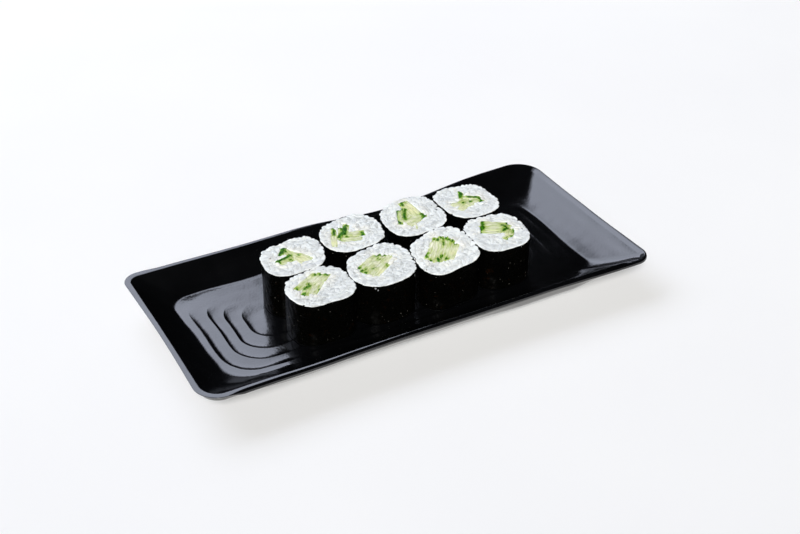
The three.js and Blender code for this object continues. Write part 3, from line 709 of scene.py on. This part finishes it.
def rice_tint(roll, points, rng, greyness):
    """Colour of rice at points: white, with cream patches by the cucumber and greyer grains."""
    cream = smoothstep(Waves(rng, 12)(points * FLAT) * 0.4 + 0.45)
    cream *= smoothstep(1.3 - to_strips(roll, points) / 6)
    return lerp(lerp(RICE_WHITE, RICE_CREAM, cream[:, None]), RICE_GREY, greyness)


def rice_core(roll, rng, cut, lip):
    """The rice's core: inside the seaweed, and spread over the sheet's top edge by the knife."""
    angles = all_round(RICE_COLUMNS)
    outline = outline_radius(roll, angles)
    wall = outline - NORI_DEPTH - 0.1
    edge = outline + lip(ring(angles, wall))
    bumps = Waves(rng, 2.6)

    def level(inwards, drop):
        spot = ring(angles, edge - inwards)
        hollow = STICK_WELL * smoothstep(0.9 - to_strips(roll, spot) / 0.5)
        relief = smoothstep(inwards / 1.5) * (0.035 * bumps(spot) - RICE_COVER)
        spot[:, 2] = cut(spot) - drop - hollow + relief
        return spot

    brim = np.minimum(wall, edge - 0.1)
    under_lip = NORI_TOP + 0.06 - NOTCH_PIT * np.minimum(notch_depth(roll, angles), 1)
    bottom = ring(angles, wall, roll.base)
    loops = [bottom, lerp(bottom, ring(angles, wall, under_lip), 0.5),
             ring(angles, brim, under_lip),
             ring(angles, np.maximum(edge - 0.12, brim), under_lip + 0.02)]
    loops += [level(inwards, drop) for inwards, drop in CUT_EDGE]
    loops += [level(share * edge, 0) for share in np.linspace(0.06, 0.97, RICE_RINGS)]
    points, faces = skin_loops(loops, np.array([0, 0, roll.base]), loops[-1].mean(0))
    return points, faces, {"tint": rice_tint(roll, points, rng, 0.15)}


def unit_grain():
    """A smooth grain one unit long, wide and high, with its blunt ends along x."""
    around = ring(all_round(GRAIN_SEGMENTS), 1)
    loops = []
    for angle in np.linspace(math.pi, 0, GRAIN_RINGS + 1)[1:-1]:
        along, out = 0.5 * math.cos(angle), 0.5 * math.sin(angle) ** 0.86
        loops.append(np.roll(out * around, 1, axis=1) + [along, 0, 0])
    return skin_loops(loops, np.array([-0.5, 0, 0]), np.array([0.5, 0, 0]))


GRAIN_POINTS, GRAIN_FACES = unit_grain()


def turned(points, turn, tilt=0, roll_angle=0):
    """Rolls points about x, tips them about y, then turns them about z; angles in radians."""
    x, y, z = points.T
    y, z = (y * math.cos(roll_angle) - z * math.sin(roll_angle),
            y * math.sin(roll_angle) + z * math.cos(roll_angle))
    x, z = x * math.cos(tilt) - z * math.sin(tilt), x * math.sin(tilt) + z * math.cos(tilt)
    x, y = x * math.cos(turn) - y * math.sin(turn), x * math.sin(turn) + y * math.cos(turn)
    return np.column_stack([x, y, z])


def grain_places(roll, rng):
    """Where grains lie on the cut: (x, y, turn, tilt), spread by spacing over the rice."""
    chosen = np.zeros((0, 4))
    for _ in range(GRAIN_TRIES):
        angle = rng.uniform(0, TURN)
        reach = math.sqrt(rng.random()) * (outline_radius(roll, angle) - GRAIN_MARGIN)
        turn, tilt = rng.uniform(0, math.pi), math.asin(rng.uniform(-0.75, 0.75))
        spot = reach * axes(angle)[0]
        half = (GRAIN_LENGTH - GRAIN_WIDTH) / 2 * math.cos(tilt)
        ends = spot + np.outer([-half, 0, half], axes(turn)[0])
        if (to_strips(roll, ends) < GRAIN_WIDTH * 0.27).any() or (to_tuck(roll, ends) < 0.7).any():
            continue
        radii, directions = polar(ends)
        if (radii > outline_radius(roll, directions) - GRAIN_MARGIN).any():
            continue
        if len(chosen) and np.hypot(*(chosen[:, :2] - spot).T).min() < GRAIN_SPACING:
            continue
        chosen = np.vstack([chosen, [*spot, turn, tilt]])
    return chosen


def rice_grains(roll, rng, cut, lip):
    parts = []
    lumps = Waves(rng, 9)
    for x, y, turn, tilt in grain_places(roll, rng):
        size = np.array([GRAIN_LENGTH, GRAIN_WIDTH, GRAIN_HEIGHT]) * rng.uniform(0.88, 1.08, 3)
        points = GRAIN_POINTS * size
        for axis, bend in GRAIN_BEND:
            points[:, axis] += bend * rng.uniform(-1, 1) * (points[:, 0] / GRAIN_LENGTH * 2) ** 2
        points = turned(points, turn, tilt, rng.uniform(0, TURN)) + [x, y, 0]
        points += 0.05 * np.column_stack([Waves(rng, 2.2)(points) for _ in range(3)])
        # Grains stand proud of the cut next to the cucumber and along the back of the rim.
        middle = np.array([[x, y, 0]])
        reach, towards = (value[0] for value in polar(middle))
        by_stick = smoothstep(1.6 - to_strips(roll, middle)[0] / 2.4)
        by_wall = smoothstep(1.8 - (outline_radius(roll, towards) - reach) / 2.2)
        behind = smoothstep(0.3 + 0.8 * math.sin(towards))
        proud = max(by_stick, by_wall * behind) * rng.random()
        rise = rng.uniform(-0.08, -0.02) + 0.16 * proud + 0.05 * np.clip(lumps(middle)[0], -1, 1)
        flatness = CUT_SOFTNESS if proud < 0.3 else lerp(CUT_SOFTNESS, PROUD_SOFTNESS, proud)
        points[:, 2] += cut(middle)[0] + rise - points[:, 2].max() * rng.uniform(0.3, 0.7)
        plane = cut(points) + 0.5 * max(rise, 0)
        points[:, 2] -= np.maximum(points[:, 2] - plane, 0) * (1 - flatness)
        points[:, 2] = np.minimum(points[:, 2], CUT_HEIGHT + GRAIN_PROUDEST)
        # They stay inside the seaweed, and above it inside the rice's rim.
        radii, directions = polar(points)
        outline = outline_radius(roll, directions)
        brim = outline + lip(points * FLAT)
        packed = np.minimum(outline - NORI_DEPTH - 0.06, brim - 0.05)
        above = smoothstep((points[:, 2] - NORI_TOP - 0.02) / 0.25)
        limit = lerp(packed, brim + 0.12 * proud, above)
        points[:, :2] *= np.minimum(1, limit / radii)[:, None]
        tint = rice_tint(roll, points, np.random.default_rng(SEED), rng.random() ** 2 * 0.35)
        parts.append((points, GRAIN_FACES, {"tint": tint}))
    return parts


def rice_part(roll, rng):
    smooth, rough = Waves(rng, 15), Waves(rng, 5)
    broad, fine = Waves(rng, 12), Waves(rng, 4.8)

    def cut(points):
        """Height of the knife's cut over points."""
        return CUT_HEIGHT + 0.13 * smooth(points * FLAT) + 0.06 * rough(points * FLAT)

    def lip(points):
        """How far the rice stands past the roll's outline: lumpy at the back, even in front."""
        angles = polar(points)[1]
        spot = ring(angles, outline_radius(roll, angles))
        lumpy = lerp(LIP_FRONT, LIP_BACK, smoothstep(0.45 + 0.7 * np.sin(angles + 0.5)))
        grainy = 1.4 * np.abs(fine(spot)) ** 0.7 - 1.15
        uneven = np.clip(0.12 * broad(spot) + lumpy * grainy, LIP_DEEPEST, LIP_PROUDEST)
        shy = 0.22 * smoothstep(2.4 * np.sin(angles + 0.1) - 1.2)
        return uneven - shy - notch_depth(roll, angles)

    return placed(roll, [rice_core(roll, rng, cut, lip), *rice_grains(roll, rng, cut, lip)])


def to_skin(roll, points):
    """Distance from points to the nearest stroke of skin, less than 0 in it."""
    nearest = np.full(len(points), 9.0)
    for *line, width in roll.skin:
        line = np.array(line).reshape(-1, 2)
        for start, side in zip(line, np.diff(line, axis=0)):
            away = points[:, :2] - start
            travel = np.clip(away @ side / (side @ side), 0, 1)
            gap = np.hypot(*(away - travel[:, None] * side).T) - width / 2
            nearest = np.minimum(nearest, gap)
    return nearest


def cucumber_tint(roll, points, fibre, rng):
    """Colour of the cucumber at points: dark skin, a green band next to it, then pale flesh."""
    ragged = 0.15 * Waves(rng, 1.6)(points * FLAT) + rng.uniform(-0.25, 0.3)
    ragged += 0.26 * Waves(rng, 0.8)(fibre * [0.3, 1, 0])
    from_skin = to_skin(roll, points) + ragged
    patches = smoothstep(0.5 + 0.6 * Waves(rng, 5)(points * FLAT))
    greener = 0.3 * patches + 0.3 * smoothstep(1.2 - from_skin / 3.5) + rng.uniform(-0.06, 0.2)
    greener += 0.16 * Waves(rng, 0.9)(fibre * [0.12, 1, 0])
    colour = lerp(FLESH_PALE, FLESH_GREEN, np.clip(greener, -0.25, 1)[:, None])
    for x, y, radius in roll.yellow:
        near = smoothstep(1.3 - np.hypot(points[:, 0] - x, points[:, 1] - y) / radius)
        colour = lerp(colour, FLESH_YELLOW, (near * 0.7)[:, None])
    skin = lerp(SKIN_DARK, SKIN_LIGHT, smoothstep(0.3 + 0.5 * Waves(rng, 2)(points))[:, None])
    bands = [(FLESH_GREEN, 1.6, 0.08), (RIND_GREEN, 0.8, 0.05), (skin, 0.4, 0.35)]
    for band, width, shift in bands:
        colour = lerp(band, colour, smoothstep(from_skin / width + shift)[:, None])
    return colour


def stick_part(roll, strip, top, rng):
    x, y, length, width, direction = strip
    length, width = length - 2 * STICK_CLEARANCE, width - 2 * STICK_CLEARANCE
    columns = max(9, round(length / STICK_STEP) + 1)
    rows = max(6, round(width / STICK_STEP) + 1)
    u, v = (values.ravel() for values in np.meshgrid(np.linspace(-1, 1, columns),
                                                     np.linspace(-1, 1, rows)))
    ends = Waves(rng, 1.4)(np.column_stack([0 * v, v * width / 2, np.sign(u)]))
    along = u * (length / 2) * (1 - 0.07 * v * v) + 0.22 * ends * np.abs(u) ** 7
    sides = Waves(rng, 4)(np.column_stack([u * length / 2, 0 * u, np.sign(v)]))
    bow = rng.uniform(-0.3, 0.3)
    across = v * (width / 2) * (1 - 0.12 * u**6) + 0.1 * sides * np.abs(v) ** 3 + bow * (1 - u * u)
    forward, aside = axes(math.radians(direction))
    surface = raised([x, y] + along[:, None] * forward + across[:, None] * aside)
    tilt = 0.18 * rng.uniform(-1, 1) * u + 0.1 * rng.uniform(-1, 1) * v
    lengthways = raised(np.column_stack([along, across]))
    ridges = 0.05 * Waves(rng, 0.9, stretch=(3, 1, 1))(lengthways)
    edge = 0.06 * np.maximum(np.abs(v) ** 10, np.abs(u) ** 26)
    surface[:, 2] = top + tilt + ridges + 0.1 * Waves(rng, 5)(surface) - edge
    # The cut, then its outline again and again down the sides.
    grid = np.arange(rows * columns).reshape(rows, columns)
    upper = np.concatenate([grid[0, :-1], grid[:-1, -1], grid[-1, :0:-1], grid[:0:-1, 0]])
    outline = surface[upper]
    loops, faces = [surface], [grid_faces(rows, columns, closed=False)]
    for index, share in enumerate((0.04, 0.16, 0.5, 1)):
        loops.append(raised(outline[:, :2], lerp(outline[:, 2], roll.base, share)))
        lower = rows * columns + index * len(outline) + np.arange(len(outline))
        faces.append(np.stack([lower, np.roll(lower, -1), np.roll(upper, -1), upper], -1))
        upper = lower
    points = np.concatenate([*loops, [[x, y, roll.base]]])
    faces.append(fan_faces(len(points) - 1, upper, upwards=False))
    away = points[:, :2] - [x, y]
    fibre = np.column_stack([away @ forward, away @ aside, points[:, 2]]) + 40 * rng.random(3)
    return points, faces, fibre


def slivers(strip, rng):
    """A stick split lengthways into slivers, each with ends of its own."""
    x, y, length, width, direction = strip
    forward, aside = axes(math.radians(direction))
    count = max(1, round(width / SLIVER_WIDTH))
    for place in (np.arange(count) + 0.5) / count - 0.5:
        front, back = rng.uniform(-0.3, 1.0, 2)
        middle = np.array([x, y]) + forward * (front - back) / 2 + aside * place * width
        yield *middle, length + front + back, width / count, direction


def cucumber_bits(roll, rng):
    """Each sliver and wisp of a roll's cucumber, and the height of its cut."""
    for index, strip in enumerate(roll.strips):
        uneven = STRIP_HEIGHTS[index % len(STRIP_HEIGHTS)] * STICKS_UNEVEN
        for sliver in slivers(strip, rng):
            yield sliver, CUT_HEIGHT + uneven - STICK_SUNK + rng.uniform(-0.05, 0.05)
    for *wisp, above in roll.wisps:
        yield wisp, CUT_HEIGHT + above


def cucumber_part(roll, rng):
    parts = []
    for bit, height in cucumber_bits(roll, rng):
        points, faces, fibre = stick_part(roll, bit, height, rng)
        tint = cucumber_tint(roll, points, fibre, rng)
        parts.append((points, faces, {"tint": tint, "fibre": fibre}))
    return placed(roll, parts)


def lump(rng, size):
    """A small uneven lump of a given size along x, y and z."""
    points = GRAIN_POINTS * size
    return points * (1 + 0.16 * Waves(rng, 0.8 * max(size))(points))[:, None]


def crumbs_part(rng):
    """Specks on the cuts, and grey smears and pale dots on the seaweed painted as glints."""
    parts = []
    rolls = {roll.name: roll for roll in ROLLS}

    def add(points, roll, colour):
        tint = np.tile(colour, (len(points), 1))
        parts.append((slope_cut(roll, points), GRAIN_FACES, {"tint": tint}))

    def add_to_side(points, roll, angle, sunk, height, colour):
        points[:, 0] += outline_radius(roll, angle) - NORI_INSET - sunk
        add(turned(points, angle) + [0, 0, height], roll, colour)

    for name, x, y, size, colour in CRUMBS:
        points = lump(rng, size * np.array([1.5, 0.8, 0.4]) * rng.uniform(0.85, 1.15, 3))
        points = turned(points, rng.uniform(0, math.pi)) + [x, y, CUT_HEIGHT + 0.12]
        add(points, rolls[name], colour)
    # Grey smears on the seaweed's outside, their colour a painted glint of wet spots.
    for name, towards, height, width, length in GLINT_SMEARS:
        points = lump(rng, np.array([GLINT_SMEAR_THICKNESS, width, length]))
        add_to_side(points, rolls[name], math.radians(towards), 0, height, GREY)
    # Pale dots on the seaweed, most of them low down: painted glints.
    for roll in ROLLS:
        for _ in range(GLINT_DOT_COUNT):
            angle = math.radians(rng.uniform(0, 360))
            points = lump(rng, np.array([0.12, 0.3, 0.3]) * rng.uniform(0.6, 1.2))
            height = roll.base + GLINT_DOTS_FROM + GLINT_DOTS_REACH * rng.random() ** 1.8
            add_to_side(points, roll, angle, 0.03, height, GLINT_DOT_COLOUR * rng.uniform(0.05, 0.4))
    return join_parts(parts)


# ---- Materials ----


class Shader:
    """A new node material and short ways to add nodes to it."""

    def __init__(self, name):
        self.material = bpy.data.materials.new(name)
        self.material.use_nodes = True
        self.tree = self.material.node_tree
        self.surface = self.tree.nodes["Principled BSDF"]

    def add(self, kind, inputs=None, **settings):
        node = self.tree.nodes.new(kind)
        for key, value in settings.items():
            setattr(node, key, value)
        for key, value in (inputs or {}).items():
            self.feed(node, key, value)
        return node

    def feed(self, node, key, value):
        if isinstance(value, bpy.types.NodeSocket):
            self.tree.links.new(value, node.inputs[key])
        else:
            node.inputs[key].default_value = value

    def finish(self, **inputs):
        """Sets the surface's inputs, and gives the material."""
        for key, value in inputs.items():
            self.feed(self.surface, key.replace("_", " "), value)
        return self.material

    def place(self, attribute=None, scale=(1, 1, 1)):
        """Coordinates in metres, or an attribute's, stretched by scale."""
        if attribute:
            source = self.add("ShaderNodeAttribute", attribute_name=attribute).outputs["Vector"]
        else:
            source = self.add("ShaderNodeTexCoord").outputs["Object"]
        return self.add("ShaderNodeMapping", {"Vector": source, "Scale": scale}).outputs["Vector"]

    def noise(self, vector, scale, detail=3.0, roughness=0.5, distortion=0.0):
        return self.add("ShaderNodeTexNoise", {
            "Vector": vector, "Scale": scale, "Detail": detail, "Roughness": roughness,
            "Distortion": distortion,
        }).outputs["Fac"]

    def spread(self, value, low, high, to_low=0.0, to_high=1.0):
        return self.add("ShaderNodeMapRange", {
            "Value": value, "From Min": low, "From Max": high, "To Min": to_low, "To Max": to_high,
        }).outputs["Result"]

    def ramp(self, value, stops):
        node = self.add("ShaderNodeValToRGB", {"Fac": value})
        elements = node.color_ramp.elements
        while len(elements) < len(stops):
            elements.new(0.5)
        for element, (position, colour) in zip(elements, stops):
            element.position = position
            element.color = (*colour, 1)
        return node.outputs["Color"]

    def blend(self, share, one, other, mode="MIX"):
        node = self.add("ShaderNodeMix", data_type="RGBA", blend_type=mode)
        for index, value in ((0, share), (6, one), (7, other)):
            self.feed(node, index, value)
        return node.outputs[2]

    def tinted(self, shade):
        """The mesh's own colour, times shade."""
        tint = self.add("ShaderNodeAttribute", attribute_name="tint").outputs["Color"]
        return self.blend(1.0, tint, shade, "MULTIPLY")

    def bump(self, height, distance, strength=1.0, under=None):
        inputs = {"Height": height, "Distance": distance, "Strength": strength}
        if under is not None:
            inputs["Normal"] = under
        return self.add("ShaderNodeBump", inputs).outputs["Normal"]


def plate_material():
    shader = Shader("black_melamine")
    place = shader.place()
    haze = shader.noise(place, 34, detail=4, roughness=0.6)
    warp = shader.bump(shader.noise(place, 60, detail=1), 0.0002, 0.5)
    return shader.finish(
        Base_Color=shader.ramp(haze, [(0.3, (0.0012, 0.0013, 0.0016)),
                                      (0.75, (0.0026, 0.0028, 0.0034))]),
        Roughness=shader.spread(haze, 0.3, 0.75, 0.11, 0.15),
        Normal=shader.bump(shader.noise(place, 750, detail=1.5), 0.00004, 0.8, warp),
        IOR=1.65)


def nori_material():
    shader = Shader("seaweed_sheet")
    sheet = shader.place("sheet")
    flow = shader.place("sheet", (0.45, 1, 1))
    fibres = shader.noise(flow, 1.6, detail=5, roughness=0.7, distortion=0.6)
    dark = shader.ramp(fibres, [(0.35, (0.0003, 0.0003, 0.0002)), (0.7, (0.0012, 0.0012, 0.0008))])
    patches = shader.noise(sheet, 0.28, detail=5, roughness=0.7, distortion=0.8)
    thin = shader.spread(patches, 0.60, 0.72)
    speck = shader.spread(shader.noise(sheet, 2.6, detail=2), 0.55, 0.66)
    share = shader.add("ShaderNodeMath", {0: thin, 1: speck}, operation="MULTIPLY").outputs[0]
    dents = shader.spread(shader.noise(sheet, 1.1, detail=3, roughness=0.6), 0.58, 0.72)
    pits = shader.noise(sheet, 0.55, detail=4, roughness=0.65)
    return shader.finish(
        Base_Color=shader.blend(share, dark, (0.060, 0.019, 0.004, 1)),
        Roughness=shader.spread(pits, 0.35, 0.65, 0.24, 0.4),
        Normal=shader.bump(fibres, 0.0001, 0.7, shader.bump(dents, 0.0005, 0.9)),
        IOR=1.4, Specular_IOR_Level=0.05)


def rice_material():
    shader = Shader("cooked_rice")
    place = shader.place()
    mottle = shader.noise(place, 420, detail=3)
    shade = shader.ramp(mottle, [(0.3, (0.97, 0.975, 0.975)), (0.7, (1.0, 1.0, 1.0))])
    return shader.finish(
        Base_Color=shader.tinted(shade), Roughness=shader.spread(mottle, 0.3, 0.7, 0.5, 0.66),
        Normal=shader.bump(shader.noise(place, 900, detail=2), 0.00004, 0.2),
        IOR=1.38, Specular_IOR_Level=0.08,
        Subsurface_Weight=0.5, Subsurface_Radius=(1.0, 0.95, 0.9), Subsurface_Scale=0.0007)


def cucumber_material():
    shader = Shader("cut_cucumber")
    threads = shader.noise(shader.place("fibre", (0.13, 1.3, 0.4)), 1.0, detail=4, roughness=0.65)
    grains = shader.noise(shader.place("fibre", (0.8, 2.0, 1.0)), 1.6, detail=3)
    shade = shader.ramp(threads, [(0.32, (0.84, 0.9, 0.72)), (0.5, (1, 1, 1)),
                                  (0.7, (1.06, 1.04, 1.1))])
    return shader.finish(
        Base_Color=shader.tinted(shade), Roughness=shader.spread(grains, 0.3, 0.7, 0.2, 0.42),
        Normal=shader.bump(grains, 0.0001, 0.4, shader.bump(threads, 0.00025, 0.4)),
        IOR=1.36, Specular_IOR_Level=0.12,
        Subsurface_Weight=0.15, Subsurface_Radius=(0.9, 1.0, 0.7), Subsurface_Scale=0.0006)


# Colours the specks on the cuts, and the smears and dots on the seaweed that paint glints.
def crumb_material():
    shader = Shader("specks_and_painted_glints")
    mottle = shader.noise(shader.place(), 2500, detail=2)
    shade = shader.ramp(mottle, [(0.35, (0.6, 0.6, 0.6)), (0.65, (1.1, 1.1, 1.1))])
    return shader.finish(Base_Color=shader.tinted(shade),
                         Roughness=shader.spread(mottle, 0.3, 0.7, 0.25, 0.5))


def floor_material():
    shader = Shader("studio_floor")
    mottle = shader.noise(shader.place(), 6, detail=2)
    colour = shader.ramp(mottle, [(0.3, (0.61, 0.61, 0.615)), (0.7, (0.63, 0.63, 0.63))])
    return shader.finish(Base_Color=colour, Roughness=0.9, Specular_IOR_Level=0.1,
                         Emission_Color=(1.0, 1.0, 1.0, 1.0), Emission_Strength=FLOOR_GLOW)


# ---- Build ----

make_piece("plate_skin", plate_part(np.random.default_rng(SEED)), plate_material(), "plate",
           ["plate"])
FOODS = [
    ("seaweed", nori_part, nori_material(), "nori"),
    ("grains", rice_part, rice_material(), "rice"),
    ("sticks", cucumber_part, cucumber_material(), "cucumber"),
]
for number, roll in enumerate(ROLLS):
    rng = np.random.default_rng(SEED + 10 * number)
    for kind, make_part, material, slot in FOODS:
        make_piece(f"{kind}_{roll.name}", make_part(roll, rng), material, slot,
                   [f"{slot}_{roll.name}"])
make_piece("specks", crumbs_part(np.random.default_rng(SEED + 99)), crumb_material(), "nori", [])

# ---- Stage ----

FLOOR_HALF, FLOOR_DROP = 4.0, 0.0001  # in metres, as all of the stage
FLOOR_GLOW = 0.28  # the floor is a softly lit table
floor_mesh = bpy.data.meshes.new("floor")
floor_mesh.from_pydata(
    [(x * FLOOR_HALF, y * FLOOR_HALF, -FLOOR_DROP) for x, y in ((-1, -1), (1, -1), (1, 1), (-1, 1))],
    [], [(0, 1, 2, 3)],
)
floor_mesh.materials.append(floor_material())
floor = add_object("floor", floor_mesh)
floor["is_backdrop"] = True


def direction(azimuth, elevation):
    """Unit vector; azimuth 0 is +Y and 90 is +X."""
    a, e = math.radians(azimuth), math.radians(elevation)
    return np.array([math.sin(a) * math.cos(e), math.cos(a) * math.cos(e), math.sin(e)])


def aim_at_plate(lamp, place):
    lamp.location = place
    x, y, z = place
    lamp.rotation_euler = (math.atan2(math.hypot(x, y), z), 0, math.atan2(x, -y))


# Upright soft panels stand in an arc behind the plate, each a turn wide, and meet edge to edge.
# Above them and at the arc's right end the light fades out in strips; a faint row stands below.
COOL, WARM = (0.90, 0.965, 1.155), (1.0, 0.985, 0.95)
PANEL_DISTANCE, PANEL_TURN, FIRST_PANEL = 2.0, 25.0, 11
PANEL_BOTTOM, PANEL_TOP = 0.9, 2.3
PANEL_RADIANCES = (3.05, 3.5, 4.15)
FRINGE_SHARES, FRINGE_HEIGHT = (0.72, 0.42, 0.18), 0.25
SIDE_SHARES, SIDE_RADIANCE, SIDE_FROM, SIDE_TURN = (0.6, 0.25), 3.2, 24.5, 2
LOW_BOTTOM, LOW_TOP, LOW_RADIANCE = 0.12, 0.7, 0.32


def add_panel(name, azimuth, bottom, top, radiance, turn=PANEL_TURN):
    width = 2 * PANEL_DISTANCE * math.tan(math.radians(turn / 2))
    light = bpy.data.lights.new(name, "AREA")
    light.shape = "RECTANGLE"
    light.size, light.size_y = width, top - bottom
    light.energy = radiance * math.pi * width * (top - bottom)
    light.color = COOL
    lamp = add_object(name, light)
    aim_at_plate(lamp, PANEL_DISTANCE * direction(azimuth, 0))
    lamp.location.z = (bottom + top) / 2


for step, radiance in enumerate(PANEL_RADIANCES):
    azimuth = FIRST_PANEL - PANEL_TURN * step
    add_panel(f"softbox_{step}", azimuth, PANEL_BOTTOM, PANEL_TOP, radiance)
    for row, share in enumerate(FRINGE_SHARES):
        bottom = PANEL_TOP + FRINGE_HEIGHT * row
        add_panel(f"fringe_{step}_{row}", azimuth, bottom, bottom + FRINGE_HEIGHT, radiance * share)
    add_panel(f"softbox_low_{step}", azimuth, LOW_BOTTOM, LOW_TOP, LOW_RADIANCE)
for row, share in enumerate(SIDE_SHARES):
    add_panel(f"fringe_side_{row}", SIDE_FROM + SIDE_TURN * row, PANEL_BOTTOM, PANEL_TOP,
              SIDE_RADIANCE * share, SIDE_TURN)

key_light = bpy.data.lights.new("key", "SUN")
key_light.energy = 3.7
key_light.color = WARM
key_light.angle = math.radians(20)
aim_at_plate(add_object("key", key_light), 2 * direction(-150, 39))

world = bpy.data.worlds.new("studio")
world.use_nodes = True
background = world.node_tree.nodes["Background"].inputs
background["Color"].default_value = (0.004, 0.004, 0.0042, 1)
background["Strength"].default_value = 1.0
bpy.context.scene.world = world
bpy.context.scene.view_settings.view_transform = "Standard"

CAMERA_PLACE, CAMERA_DOWN, CAMERA_TURN = (-0.2999, -0.5638, 0.4553), 34.44, -28.6
camera_data = bpy.data.cameras.new("camera")
camera_data.lens = 63
camera_data.sensor_width = 36
camera = add_object("camera", camera_data)
camera.location = CAMERA_PLACE
camera.rotation_euler = (math.radians(90 - CAMERA_DOWN), 0, math.radians(CAMERA_TURN))
bpy.context.scene.camera = camera

boxes = {"cad": CAD_BOX, "visual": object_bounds()}
{key: [list(map(float, corner)) for corner in box] for key, box in boxes.items()}
